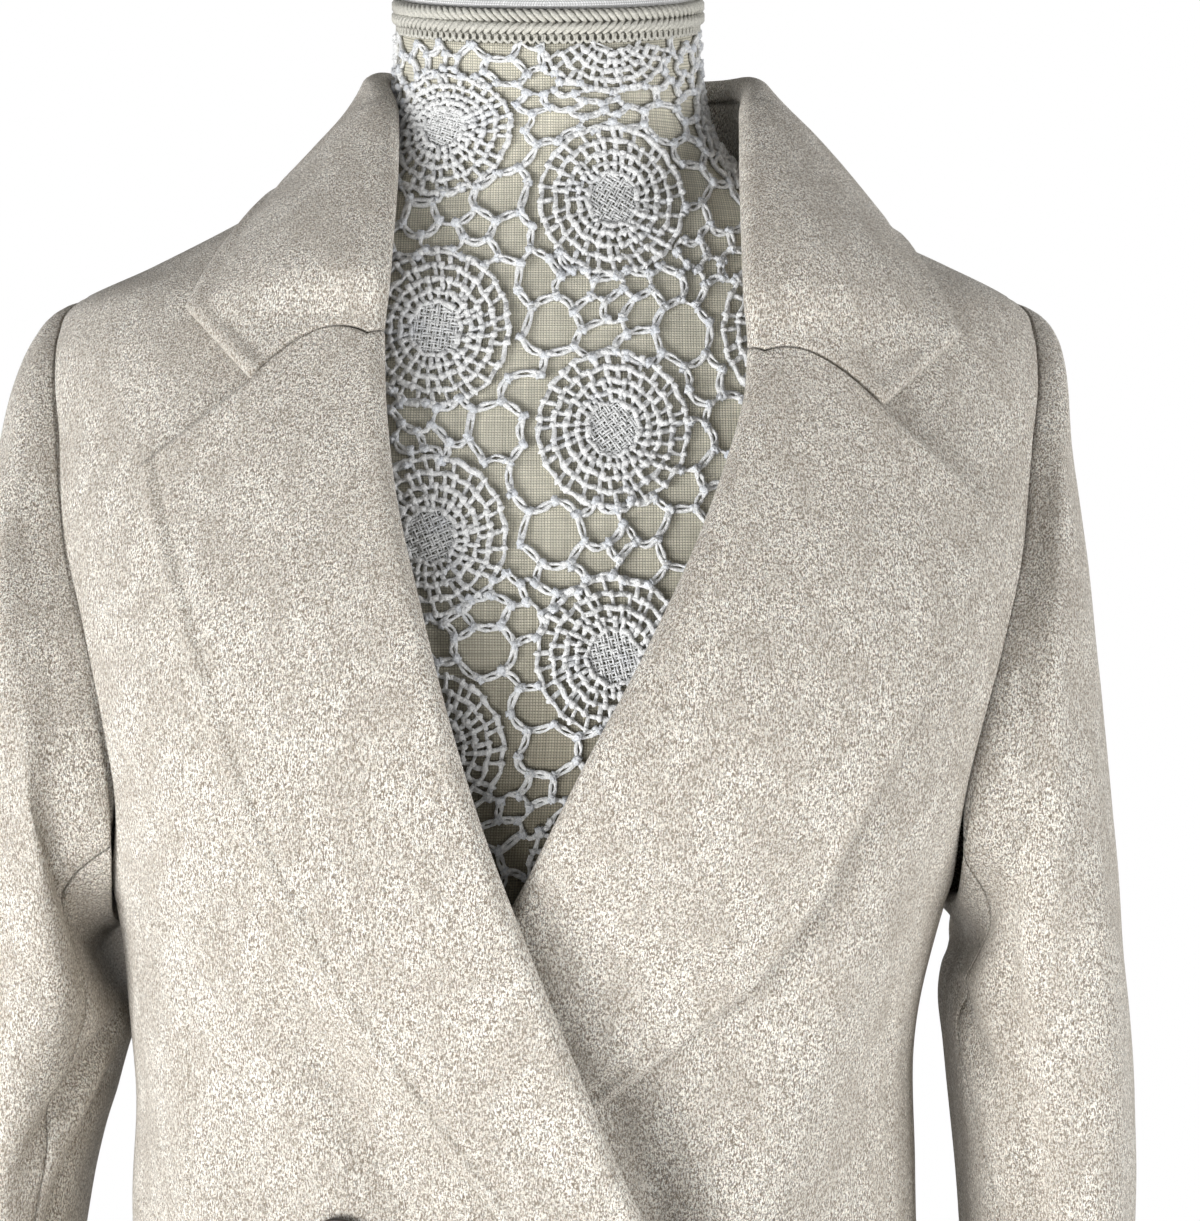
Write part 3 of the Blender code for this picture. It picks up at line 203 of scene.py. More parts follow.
COLLAR_LEFT = [
    (0.0925, -0.0930, 1.3330, 0.0800, -0.1030, 1.3338,
     0.1065, -0.1020, 1.3290, 0.1320, -0.0973, 1.3095),
    (0.0905, -0.0790, 1.3500, 0.0803, -0.0930, 1.3520,
     0.1220, -0.0860, 1.3530, 0.1670, -0.0640, 1.3406),
    (0.0885, -0.0680, 1.3690, 0.0802, -0.0810, 1.3740,
     0.1180, -0.0740, 1.3770, 0.1590, -0.0550, 1.3590),
    (0.0860, -0.0480, 1.3960, 0.0805, -0.0590, 1.4050,
     0.1140, -0.0520, 1.4030, 0.1520, -0.0380, 1.3740),
    (0.0850, -0.0190, 1.4150, 0.0820, -0.0290, 1.4360,
     0.1110, -0.0230, 1.4260, 0.1450, -0.0080, 1.3860),
    (0.0850, 0.0080, 1.4225, 0.0840, 0.0060, 1.4540,
     0.1070, 0.0130, 1.4310, 0.1340, 0.0260, 1.3920),
    (0.0660, 0.0420, 1.4255, 0.0680, 0.0460, 1.4605,
     0.0860, 0.0580, 1.4380, 0.1050, 0.0720, 1.3980),
]
COLLAR_RADIUS = 0.0048
COLLAR_STATIONS = 1.2  # the collar's end stations, which follow the lapel's own row

# Sleeves, from the armhole down to the cuff, half turned out of the front view.
# outer x, outer z, inner x, inner z, middle y, half depth
SLEEVE_RIGHT = [
    (0.1985, 1.3640, 0.1800, 1.1050, -0.003, 0.0820),
    (0.2088, 1.3560, 0.1870, 1.1010, -0.003, 0.0840),
    (0.2169, 1.3430, 0.1900, 1.0970, -0.003, 0.0855),
    (0.2232, 1.3250, 0.1905, 1.0930, -0.003, 0.0865),
    (0.2283, 1.3060, 0.1892, 1.0885, -0.003, 0.0870),
    (0.2330, 1.2790, 0.1866, 1.0835, -0.003, 0.0870),
    (0.2410, 1.2360, 0.1830, 1.0770, -0.003, 0.0860),
    (0.2490, 1.1940, 0.1780, 1.0680, -0.004, 0.0845),
    (0.2560, 1.1520, 0.1752, 1.0580, -0.004, 0.0825),
    (0.2620, 1.1100, 0.1790, 1.0440, -0.005, 0.0800),
    (0.2670, 1.0680, 0.1841, 1.0270, -0.006, 0.0780),
    (0.2710, 1.0260, 0.1905, 1.0060, -0.007, 0.0755),
    (0.2750, 0.9720, 0.1973, 0.9650, -0.009, 0.0730),
    (0.2785, 0.9000, 0.2060, 0.8960, -0.013, 0.0695),
    (0.2800, 0.8400, 0.2115, 0.8380, -0.017, 0.0665),
    (0.2800, 0.7850, 0.2150, 0.7850, -0.021, 0.0640),
]
SLEEVE_LEFT = [
    (0.1955, 1.3625, 0.1730, 1.1050, -0.003, 0.0820),
    (0.2056, 1.3555, 0.1765, 1.1010, -0.003, 0.0840),
    (0.2115, 1.3450, 0.1785, 1.0970, -0.003, 0.0850),
    (0.2154, 1.3265, 0.1785, 1.0930, -0.003, 0.0855),
    (0.2188, 1.3057, 0.1772, 1.0890, -0.003, 0.0855),
    (0.2230, 1.2780, 0.1750, 1.0845, -0.003, 0.0850),
    (0.2273, 1.2340, 0.1722, 1.0785, -0.003, 0.0840),
    (0.2307, 1.1920, 0.1694, 1.0720, -0.004, 0.0825),
    (0.2349, 1.1500, 0.1678, 1.0600, -0.004, 0.0805),
    (0.2383, 1.1080, 0.1690, 1.0450, -0.005, 0.0785),
    (0.2417, 1.0660, 0.1703, 1.0280, -0.006, 0.0765),
    (0.2443, 1.0240, 0.1722, 1.0060, -0.007, 0.0745),
    (0.2447, 0.9700, 0.1758, 0.9640, -0.009, 0.0720),
    (0.2440, 0.9000, 0.1800, 0.8960, -0.013, 0.0690),
    (0.2410, 0.8400, 0.1825, 0.8380, -0.017, 0.0660),
    (0.2370, 0.7850, 0.1830, 0.7850, -0.021, 0.0635),
]
CAP_RINGS = 8  # rings over which the armhole's outline turns into an oval
UNDER_TURNS = (122.0, 152.0)  # turns over which the sleeve passes outside the body
ARMPIT_TURNS = (92.0, 112.0, 142.0, 158.0)  # where the armpit's wider gap starts and ends
ARMPIT_GAP = 0.0013
ARMHOLE_MIDDLE_Y = -0.003
ARMHOLE_HALF = 0.082  # half of the armhole's width from front to back
BOW_RINGS = 5  # rings over which the sleeve loses the armhole's sideways bow
FREE_TURNS = (106, 150)  # turns over which a ring near the armhole may be lifted
BESIDE_Z = (1.26, 1.22)  # heights over which the sleeve starts to hang beside the body
SLEEVE_LIFT = 2.5  # gaps of LAY that it keeps from the body there
TURN_ASIDE = 1.5  # degrees to both sides, to read a ring's slope
CAP_GAP = 0.0030  # by which the sleeve leaves the armhole over its first ring
LONG_SEAM_SHARE = 0.6  # of SEAM, on each side of a sleeve's long seams
LONG_SEAM_ROWS = (2.0, 6.0)  # rows over which their gap narrows to that
SLEEVE_SQUARENESS = 2.3

# Where the two long sleeve seams run, as turns from the outer line in degrees.
# sleeve row, front seam right, front seam left, back seam
SLEEVE_SEAMS = [
    (0, 134, 138, 118),
    (5, 136, 152, 120),
    (8, 136, 162, 122),
    (10, 134, 154, 122),
    (12, 132, 132, 122),
    (15, 120, 120, 120),
]

FRONT_EDGE_X = 0.1060  # straight front edge, past the middle
EDGE_LEAN = (0.004, 0.002, 0.001)  # how far it strays from that at hem, thigh and break
THIGH_Z = 0.62
BREAK_RUN = (0.030, 0.012)  # below a lapel's leg, where the edge starts to turn towards it
UNDER_DROP = 0.0058  # how far the under front is pressed in by the upper one
PRESSED_X = (0.095, 0.155)  # over these the press fades out, to the side and upwards
PRESSED_Z = (1.11, 1.19)
# Where the upper front rides over the under lapel: x, z, half widths, height
OVER_RISE = (-0.025, 1.050, 0.125, 0.092, 0.0082)

# Dress form: depth inside the coat's outer surface, by height. z, depth
FORM_BOTTOM_Z = 0.720
FORM_DEPTH = [
    (0.720, 0.0300), (0.800, 0.0260), (0.900, 0.0260), (1.000, 0.0270), (1.100, 0.0190),
    (1.200, 0.0140), (1.280, 0.0105), (1.335, 0.0078), (1.350, 0.0060), (1.362, 0.0042),
    (1.392, 0.0036),
]
# Neck of the form: z, half width, depth to the front, depth to the back
FORM_NECK = [
    (1.4000, 0.1050, 0.0595, 0.0670),
    (1.4100, 0.0870, 0.0570, 0.0640),
    (1.4220, 0.0750, 0.0555, 0.0595),
    (1.4370, 0.0670, 0.0550, 0.0585),
    (1.4550, 0.0635, 0.0547, 0.0580),
    (1.4763, 0.0625, 0.0545, 0.0578),
]
NECK_SLANT = 0.297  # the rim rises this much towards the back
BRAID_HEIGHT = 0.0130
TRIM_INSET = 0.0100  # how far the braid's ends reach inside the neck's outline
TRIM_OUTSET = 0.0006  # of the braid's borders from the neck's outline
CAP_HEIGHT = 0.0110

FOOT_RADIUS = 0.170
FOOT_HEIGHT = 0.016
SOCKET_RADIUS = 0.023
SOCKET_TOP_Z = 0.085
POLE_RADIUS = 0.0125

BUTTON_RADIUS = 0.0110
BUTTON_THICK = 0.0042
# name, x, z, side of the front that carries it
BUTTONS = [
    ("button_upper_right", -0.0740, 0.991, -1),
    ("button_upper_left", 0.0800, 0.983, 1),
    ("button_lower_right", -0.0740, 0.880, -1),
    ("button_lower_left", 0.0760, 0.880, -1),
]

# ---- studio ----
CAMERA_AT = (0.022, -1.200, 1.230)
PICTURE_SIZE = (1200, 1221)
FOCAL_PIXELS = 2823.5  # focal length, in pixels of the picture
SENSOR = 36.0
FLOOR_RADIUS = 3.6
FLOOR_SIDES = 96
LIGHTS_AIM = (0.0, 0.0, 1.15)
# name, place, width, setting that holds the power
LIGHTS = [
    ("key_light", (-2.0, -1.7, 0.60), 1.2, "key_power"),
    ("side_light", (2.3, -0.9, 1.15), 1.2, "side_power"),
    ("low_light", (-0.6, -1.9, 0.12), 0.8, "low_power"),
    ("back_light", (0.5, 2.6, 1.90), 1.8, "back_power"),
]

# ---- finer meshes and small relief, only for the looks ----
BODY_CELLS = (60, 56, 76, 30)  # mesh rows: to the waist, underarm, shoulder tip, neck
FRONT_COLUMNS = 84
BACK_COLUMNS = 120
LAPEL_ROWS = 130
COLLAR_STEPS = (10, 170)  # from each gorge to the point, and round the neck
SLEEVE_ROWS = 130
SLEEVE_COLUMNS = {"top": 84, "under": 44}
CAP_ROWS = 12  # of those, the ones within the first ring of the cap
LAPEL_CELLS = (8, 16, 26, 24)  # cells of a row: leg, roll, to the mid line, to the edge
FORM_SIDES = 240
FORM_ROWS = 110
NECK_ROWS = 50
BUTTON_SIDES = 96
CORNER_POINTS = 9  # of a rounded corner in a turned profile
EDGE_CELLS = 6  # cells that draw in to make room for a rounded border
SEWN = 0.35  # width of a sewn border's oval, as a share of the cloth's
EDGE_RISE = 0.0032  # of a lapel's edge over the front; lower in the solids
WELT_WIDTH = 0.0026  # of the bead along the free edges of lapels and collar
WELT_HEIGHT = 0.0015
WELT_DIP = 3.2  # bead widths from the edge to the dip inside the bead

# Drag folds of the sleeves: row and turn where each starts and ends, half width in
# degrees, height (a minus sign makes a trough). The solids' own are mostly shallower.
SLEEVE_FOLDS = {
    -1: [(2, 100, 10, 124, 12, 0.0060), (6, 80, 15.5, 104, 13, -0.0110),
         (7.2, 170, 11.2, 122, 6, -0.0065), (9, 172, 12.4, 140, 6, -0.0050),
         (8.6, 158, 12, 132, 7, 0.0035), (8, 62, 14, 76, 13, 0.0045),
         (4, 240, 12, 262, 14, 0.0050), (9, 290, 14, 250, 12, -0.0050),
         (6, 205, 11, 240, 7, -0.0050)],
    1: [(2, 78, 9, 96, 15, 0.0040), (5, 128, 14, 104, 12, -0.0060),
        (6.5, 168, 10, 132, 7, -0.0045), (7, 60, 15, 72, 15, 0.0035),
        (4, 244, 12, 264, 14, 0.0045), (9, 292, 14, 252, 12, -0.0045),
        (6, 206, 11, 242, 7, -0.0045)],
}

# Creases of the fronts: x and z where each starts and ends, half width, height. The
# solids' own are shallower.
FRONT_CREASES = {
    -1: [(-0.098, 1.090, -0.030, 0.975, 0.014, -0.0050),
         (-0.150, 1.090, -0.110, 0.930, 0.018, 0.0042)],
    1: [(0.140, 1.150, 0.052, 0.930, 0.021, 0.0085),
        (0.014, 1.066, 0.070, 0.970, 0.015, -0.0085)],
}
# Where a crease, a drag fold and a pressed seam grow and fade, as shares of their length
CREASE_FADE = ((-0.15, 0.30), (0.70, 1.15))
FOLD_FADE = ((-0.10, 0.35), (0.65, 1.10))
SEAM_FADE = ((-0.01, 0.06), (0.92, 1.01))

# Seams and darts pressed into a panel: x at the top, z there, x at the foot, z there
BACK_SEAM = (0.0, 1.400, 0.0, 0.345)
FRONT_DARTS = {-1: (-0.136, 1.090, -0.137, 0.800), 1: (0.136, 1.090, 0.137, 0.800)}
DART_WIDTH = 0.0011
DART_DEPTH = 0.0011
DART_CROWDING = (5.0, 0.02)  # how much the columns crowd at a seam, and within what share
DART_TOP_Z = 1.25  # above this a dart's columns run straight on
BODY_WAVE = 0.045  # shortest wave in the cloth's uneven lie
SLEEVE_WAVE = 0.035
SLEEVE_CALM = (0.5, 3.0)  # sleeve rows over which that lie grows from the armhole
TURN_UP = 0.042  # cloth turned up inside at the hem and the cuffs
TURN_UP_THICK = 0.0016
TURN_UP_STEP = 0.002  # over which its edge thins out
WAVES = (12, 3.2, 2.2)  # number of waves in that lie, longest over shortest, gain

# Lace of the form: where the middles of its round motifs lie on the front and the neck,
# as arc length from the middle of the front and height
MOTIFS = [
    (-0.116, 1.396), (-0.116, 1.482), (-0.043, 1.429), (-0.043, 1.344), (-0.043, 1.262),
    (-0.043, 1.178), (0.027, 1.482), (0.027, 1.396), (0.027, 1.304), (0.027, 1.215),
    (0.100, 1.429), (0.100, 1.344), (0.100, 1.262), (0.182, 1.482), (0.182, 1.405),
    (0.027, 1.130), (-0.043, 1.512), (0.100, 1.512),
]
MOTIF_RINGS = (0.0105, 0.0145, 0.0190, 0.0242, 0.0300)  # radii
MOTIF_SPOKES = (24, 26, 28, 28)  # spokes between one ring and the next
RING_ARCS = 14  # arcs in which a ring is laid
RING_WAVE = 0.0005
LUMP_REACH = 0.0016  # half length of the lump where a spoke meets a ring
KNOT_RADIUS = 0.0365  # of the circle past which the open net begins
KNOTS = 13  # cells of the net round a motif
NET_PITCH = 0.0085  # least distance between the middles of small cells
DOUBLE_FROM = 0.0070  # length from which a thread of the net is double
DOUBLE_APART = 0.0010  # bow of each of the two
OVAL_REACH = 0.0467  # from a motif's middle to the oval gap beside it
NET_FIELD = ((-0.21, 1.09), (0.21, 1.50))
LACE_SEED = 7
# Threads of the lace: half thickness as a share of the lace thread's, height over the cover
RING_THREAD = (1.08, 0.0003)
SPOKE_THREAD = (1.00, 0.0001)
LUMP_THREAD = (1.28, 0.0007)
WEAVE_THREAD = (0.42, 0.0006)
LINK_THREAD = (0.84, 0.0002)
KNOT_THREAD = (1.30, 0.0004)
WEAVE_PITCH = 0.0026  # of the threads in a motif's middle
WEAVE_RISE = 0.0004
LINK_SWELL = 0.55  # of a link at its ends, on top of its half thickness
LINK_BOW = 0.0009
KNOT_REACH = 0.0016  # half length of a short loop in a knot
# Where lace shows: under the lapels' rolls by this much, and down to this height
LACE_UNDER = 0.012
LACE_BOTTOM_Z = 1.115
LACE_NECK = (0.115, 1.395, 1.425)  # half width of the neck's front, lowest z on it, and beside

# Neck trim: herring-bone plies over a row of small hanging loops
TRIM_PITCH = 0.0032  # from ply to ply
TRIM_SPINE = 0.0078  # height over the rim at which the two rows meet
TRIM_RISES = (0.0052, -0.0046)  # of the plies' outer ends from the spine
TRIM_LEAN = 0.0058
TRIM_PLY = 0.00150
LOOP_WIDTH = 0.0014  # half of a loop's width, and so for the next two
LOOP_HEIGHT = 0.0019
LOOP_THREAD = 0.00078

BUTTON_HOLE = 0.0017  # from the button's middle, both ways
BUTTON_HOLES = [(BUTTON_HOLE, BUTTON_HOLE), (-BUTTON_HOLE, BUTTON_HOLE),
                (-BUTTON_HOLE, -BUTTON_HOLE), (BUTTON_HOLE, -BUTTON_HOLE)]
BUTTON_RIM = 0.0011  # radius of its rounded rim
BUTTON_DISH = 0.0021  # depth of its middle
WELL_RADIUS = 0.00085
WELL_DEPTH = 0.0016
STITCH_APART = 0.0003
STITCH_THREAD = 0.00028

FOOT_CHAMFER = 0.002
FOOT_ROUND = 0.005
SOCKET_FILLET = 0.016
SOCKET_ROUND = 0.003
POLE_PLAY = 0.0006

PAINTED_SHADE_Z = (1.130, 1.300)  # painted shade: the linen cover darkens downwards between these, for the lapels' shadow in the V
PAINTED_SHADE_TINT = (0.42, 0.40, 0.36)


# ---- coat shapes ----
def smooth(at, knots, values):
    """Cubic curve through the knots, with slopes taken from the neighbouring knots."""
    at, knots, values = (np.asarray(part, float) for part in (at, knots, values))
    slope = np.gradient(values, knots)
    i = np.clip(np.searchsorted(knots, at) - 1, 0, len(knots) - 2)
    step = knots[i + 1] - knots[i]
    t = np.clip((at - knots[i]) / step, 0.0, 1.0)
    start = (1 + 2 * t) * (1 - t) ** 2 * values[i] + t * (1 - t) ** 2 * step * slope[i]
    end = t * t * (3 - 2 * t) * values[i + 1] + t * t * (t - 1) * step * slope[i + 1]
    return start + end


def ramp(value, low, high):
    """0 at low, 1 at high, with a soft start and end."""
    t = np.clip((np.asarray(value, float) - low) / (high - low), 0.0, 1.0)
    return t * t * (3 - 2 * t)


def column(table, index):
    return np.array([row[index] for row in table])


def torso(z):
    """Centre, half width, front and back depth and squareness of the coat at z."""
    knots = column(TORSO, 0)
    return [smooth(z, knots, column(TORSO, index)) for index in range(1, 6)]


def hem_fold(theta, z):
    """Soft ridges that grow from the hips down to the hem."""
    grow = ramp(z, HEM_FOLDS_START_Z, HEM_Z)
    rise = np.zeros(np.broadcast(theta, z).shape)
    for angle, width, height in HEM_FOLDS:
        away = (theta - math.radians(angle) + math.pi) % (2 * math.pi) - math.pi
        rise = rise + height * np.exp(-(away / math.radians(width)) ** 2)
    return grow * rise


def skin(theta, z):
    """Coat surface: at each height a superellipse, theta turning from the front (-Y)."""
    centre, width, front, back, square = torso(z)
    sine, cosine = np.sin(theta), np.cos(theta)
    depth = np.where(cosine > 0, front, back)
    reach = (np.abs(sine / width) ** square + np.abs(cosine / depth) ** square) ** (-1 / square)
    reach = reach + hem_fold(theta, z)
    return np.stack([centre + reach * sine, -reach * cosine, z + 0 * theta], -1)


def flattened(angle, z, way):
    """Angle whose tangent is stretched by depth over width, or by width over depth (way -1)."""
    _, width, front, back, _ = torso(z)
    depth = np.where(np.cos(angle) > 0, front, back)
    if way < 0:
        depth, width = width, depth
    lap = np.round(angle / math.pi) * math.pi
    return lap + np.arctan(np.tan(angle - lap) * depth / width)


def even_turn(theta, z):
    """Turn that grows evenly round a flattened section, from the angle theta at z."""
    return flattened(theta, z, 1)


def theta_of(turn, z):
    """Angle theta at z of an even turn: the opposite of even_turn."""
    return flattened(turn, z, -1)


def unit(vectors):
    return vectors / np.maximum(np.linalg.norm(vectors, axis=-1, keepdims=True), 1e-12)


def skin_out(theta, z):
    """Outward unit vector of the coat surface."""
    across = skin(theta + TURN_STEP, z) - skin(theta - TURN_STEP, z)
    up = skin(theta, z + STEP) - skin(theta, z - STEP)
    return unit(np.cross(across, up))


def front_depth(x, z):
    """Distance of the coat's front at x and z from the plane through its sides."""
    centre, width, front, _, square = torso(z)
    share = np.clip(np.abs((x - centre) / width), 0, 1) ** square
    return front * (1 - share) ** (1 / square)


def front_theta(x, z):
    """Angle of the point of the coat's front that lies at x and z."""
    return np.arctan2(x - torso(z)[0], front_depth(x, z))


def side_theta(y, z, side):
    """Angle of the point of the coat's side that lies at y and z."""
    _, width, front, back, square = torso(z)
    share = np.clip(np.abs(y / np.where(y < 0, front, back)), 0, 1) ** square
    return np.arctan2(side * width * (1 - share) ** (1 / square), -y)


def height_over(points):
    """Distance of points outside the coat surface, and the way out."""
    def share(at):
        centre, width, front, back, square = torso(at[..., 2])
        depth = np.where(at[..., 1] < 0, front, back)
        across = np.abs((at[..., 0] - centre) / width) ** square
        return (across + np.abs(at[..., 1] / depth) ** square) ** (1 / square)

    slope = np.stack([(share(points + STEP * axis) - share(points - STEP * axis)) / (2 * STEP)
                      for axis in np.eye(3)], -1)
    steep = np.maximum(np.linalg.norm(slope, axis=-1), 1e-6)
    return (share(points) - 1) / steep, slope / steep[..., None]


def lift(points, least):
    """Points moved out where they lie less than `least` over the coat surface."""
    for _ in range(3):
        height, out = height_over(points)
        short = np.maximum(least - height, 0) * (points[..., 2] < LIFT_TOP_Z)
        points = points + short[..., None] * out
    return points


def faded(along, grow, fade):
    """0 before, 1 between and 0 past two stretches, each given by its start and its end."""
    return ramp(along, *grow) * (1 - ramp(along, *fade))


def ridge(x, z, line, width, height, ends):
    """Soft ridge round a straight line: the height times exp(-(distance / width) squared)."""
    x0, z0, x1, z1 = line
    length = math.hypot(x1 - x0, z1 - z0)
    along = ((x - x0) * (x1 - x0) + (z - z0) * (z1 - z0)) / length ** 2
    across = ((x - x0) * (z1 - z0) - (z - z0) * (x1 - x0)) / length
    return height * faded(along, *ends) * np.exp(-(across / width) ** 2)


def crease(x, z, lines):
    """Sum of soft ridges and troughs, each round a straight line that fades at its ends."""
    return sum((ridge(x, z, line, width, height, CREASE_FADE) for *line, width, height in lines),
               np.zeros(np.broadcast(x, z).shape))


def front_level(x, z, side):
    """Height of a front's outer face over the coat surface."""
    if side > 0:
        pressed = (1 - ramp(x, *PRESSED_X)) * (1 - ramp(z, *PRESSED_Z))
        return -UNDER_DROP * pressed + crease(x, z, FRONT_CREASES[side])
    x0, z0, wide, tall, rise = OVER_RISE
    over = np.exp(-((x - x0) / wide) ** 4 - ((z - z0) / tall) ** 4)
    return rise * over + crease(x, z, FRONT_CREASES[side])


def grid_out(grid):
    """Unit normals of a grid of points, from its two sets of lines."""
    return unit(np.cross(np.gradient(grid, axis=1), np.gradient(grid, axis=0)))


def armhole_point(turn):
    """y and z of the armhole at a turn in degrees, by a closed smooth curve."""
    turns = column(ARMHOLE, 0)
    knots = np.concatenate([turns[-3:] - 360, turns, turns[:3] + 360])
    wrap = [column(ARMHOLE, index) for index in (1, 2)]
    turn = np.asarray(turn, float) % 360
    return [smooth(turn, knots, np.concatenate([line[-3:], line, line[:3]])) for line in wrap]


def outer_line(z, side, back):
    """Angle of a panel's outer border at z: side seam, armhole, then shoulder seam."""
    turns = np.linspace(0, 180, 181)
    y_line, z_line = armhole_point(-turns if back else turns)
    y = np.interp(-z, -z_line, y_line)
    in_armhole = (z > UNDERARM_Z) & (z < SHOULDER_TIP_Z)
    gap = (1 if back else -1) * SEAM / 2 / SIDE_REACH
    seam = side * (SIDE_SEAM + gap)
    theta = side_theta(y, z, side)
    theta = np.where(theta * side < 0, theta + side * 2 * math.pi, theta)
    return np.where(in_armhole, theta, seam)


def lapel_stations(side):
    return LAPEL_RIGHT if side < 0 else LAPEL_LEFT


def stations(table, count):
    """Rows of a table, read at `count` even steps along a smooth curve through them."""
    table = np.array(table)
    knots = np.arange(len(table))
    at = np.linspace(0, len(table) - 1, count)
    return np.stack([smooth(at, knots, table[:, i]) for i in range(table.shape[1])], -1), at


def roll_leg(row, at, gap=0.0):
    """x and z where the cloth behind a lapel's roll ends, plus a gap."""
    across = unit(row[:, 2:4] - row[:, 0:2])
    shorter = 1 - LEG_LOSS * ramp(at, at[-1] - FLAT_STATIONS, at[-1])
    reach = (ROLL_RADIUS + DOUBLE / 2 + ROLL_LEG) * shorter + gap
    return row[:, 0:2] + across * reach[:, None]


def inner_line(z, side):
    """x of a front's free border at z: front edge, behind the lapel's roll, neck seam."""
    leg = roll_leg(*stations(lapel_stations(side), STATIONS), ROLL_GAP)
    neck = NECK_SEAM_RIGHT if side < 0 else NECK_SEAM_LEFT
    edge = -side * FRONT_EDGE_X
    hem, thigh, end = (side * lean for lean in EDGE_LEAN)
    knots = [(HEM_Z, edge - hem), (THIGH_Z, edge - thigh),
             (leg[-1, 1] - BREAK_RUN[0], edge), (leg[-1, 1] - BREAK_RUN[1], edge + end)]
    knots += [(z_leg, x_leg) for x_leg, z_leg in leg[::-1]]
    knots += [(z_neck, side * x_neck) for z_neck, x_neck in neck]
    knots.append((NECK_POINT_Z, side * NECK_POINT_X))
    return np.interp(z, *np.array(knots).T)


def panel_rows(low, waist, mid, high):
    """Heights of a panel's rows, closer together at the break, at both ends of the
    armhole and over the shoulder."""
    step = BORDER_STEP
    even = np.linspace(0, 1, mid + 1)
    eased = even - ROW_CROWDING * np.sin(2 * math.pi * even)
    return np.concatenate([np.linspace(HEM_Z, WAIST_ROWS_Z, low + 1)[:-1],
                           np.linspace(WAIST_ROWS_Z, UNDERARM_Z - step, waist + 1),
                           UNDERARM_Z + step + (SHOULDER_TIP_Z - UNDERARM_Z - 2 * step) * eased,
                           np.linspace(SHOULDER_TIP_Z + step, NECK_POINT_Z - 2 * step, high + 1)])


def front_grid(side, rows, share):
    """Middle of a front: at each height, shares of the turn from its outer to its free
    border, and the way out."""
    z = rows[:, None]
    share = np.broadcast_to(share, (len(rows), np.shape(share)[-1]))
    outer = even_turn(outer_line(z, side, back=False), z)
    inner = even_turn(front_theta(inner_line(z, side), z), z)
    z = z + 0 * share
    theta = theta_of(outer + (inner - outer) * share, z)
    bare, out = skin(theta, z), skin_out(theta, z)
    level = front_level(bare[..., 0], z, side) - CLOTH / 2
    return bare + out * level[..., None], out


def back_grid(rows, share):
    """Middle of the back: at each height, shares of the turn from the left border to the
    right, and the way out."""
    z = rows[:, None]
    share = np.asarray(share)[None]
    left = even_turn(outer_line(z, 1, back=True), z)
    right = even_turn(outer_line(z, -1, back=True) + 2 * math.pi, z)
    z = z + 0 * share
    theta = theta_of(left + (right - left) * share, z)
    out = skin_out(theta, z)
    return skin(theta, z) - out * CLOTH / 2, out


def bend(start, through, end, cells):
    """Points after the start of a parabola that is half way along at `through`."""
    t = np.linspace(0, 1, cells + 1)[None, 1:, None]
    start, through, end = start[:, None], through[:, None], end[:, None]
    return (1 - t) * (1 - 2 * t) * start + 4 * t * (1 - t) * through + t * (2 * t - 1) * end


def folded(seam, roll, toward, out, radius, cells):
    """Cloth folded over a roll: a leg from the seam, then half a circle.

    Each argument holds one point a station; the answer is a grid of stations by
    points. The half circle lies in the plane of the way toward and the way out.
    """
    across = unit(toward - roll)
    out = unit(out - (out * across).sum(-1, keepdims=True) * across)
    centre = roll + across * radius
    turn = np.linspace(-math.pi / 2, math.pi / 2, cells[1] + 1)[None, :, None]
    arc = centre[:, None] + radius[:, None] * (np.sin(turn) * out[:, None]
                                              - np.cos(turn) * across[:, None])
    share = np.linspace(0, 1, cells[0] + 1)[None, :-1, None]
    leg = seam[:, None] + (arc[:, :1] - seam[:, None]) * share
    return np.concatenate([leg, arc], 1)


def on_front(x, z, over, side):
    """Point in front of the coat's surface, `over` a front's outer face."""
    return np.stack([x, -front_depth(x, z) - over - front_level(x, z, side), z], -1)


def lapel_grid(side, count, cells):
    """Middle of a lapel, rolled out of the front and laid on it.

    A row is a leg behind the roll, the roll, a parabola to the mid line that runs
    down from the notch, and a second one to the edge.
    """
    row, at = stations(lapel_stations(side), count)
    ends = at[-1]
    flat = ramp(at, ends - FLAT_STATIONS, ends)
    if side > 0:
        flat = np.maximum(flat, ramp(at, *COVERED_FROM))
    radius = ROLL_RADIUS + (FLAT_RADIUS - ROLL_RADIUS) * flat
    across = unit(row[:, 2:4] - row[:, 0:2])
    leg = roll_leg(row, at)
    start = row[:, 0:2] + across * DOUBLE / 2
    seam = on_front(leg[:, 0], leg[:, 1], -CLOTH / 2, side)
    top = on_front(start[:, 0], start[:, 1], 2 * radius - CLOTH / 2, side)
    bottom = on_front(start[:, 0], start[:, 1], -CLOTH / 2, side)
    least = LAY + DOUBLE / 2
    mid_height = least + (MID_HEIGHT - least) * (1 - flat)
    mid = on_front(row[:, 2], row[:, 3], mid_height, side)
    edge = on_front(row[:, 4], row[:, 5], least + EDGE_RISE * (1 - flat), side)
    grid = folded(seam, (top + bottom) / 2, mid, unit(top - bottom), radius[:, None], cells)
    bend_x, bend_z = GORGE_BEND[side]
    gorge = on_front(bend_x + 0 * at, bend_z + 0 * at, MID_HEIGHT + GORGE_RISE, side)
    near_gorge = (1 - ramp(at, 0.0, GORGE_STATIONS))[:, None]
    half_way = (grid[:, -1] + mid) / 2 + unit(top - bottom) * GORGE_RISE
    half_way = half_way + (gorge - half_way) * near_gorge
    outer_half = (mid + edge) / 2 + unit(top - bottom) * OUTER_RISE
    cover = np.concatenate([bend(grid[:, -1], half_way, mid, cells[2]),
                            bend(mid, outer_half, edge, cells[3])], 1)
    level = front_level(cover[..., 0], cover[..., 2], side)
    return np.concatenate([grid, lift(cover, level + least)], 1)


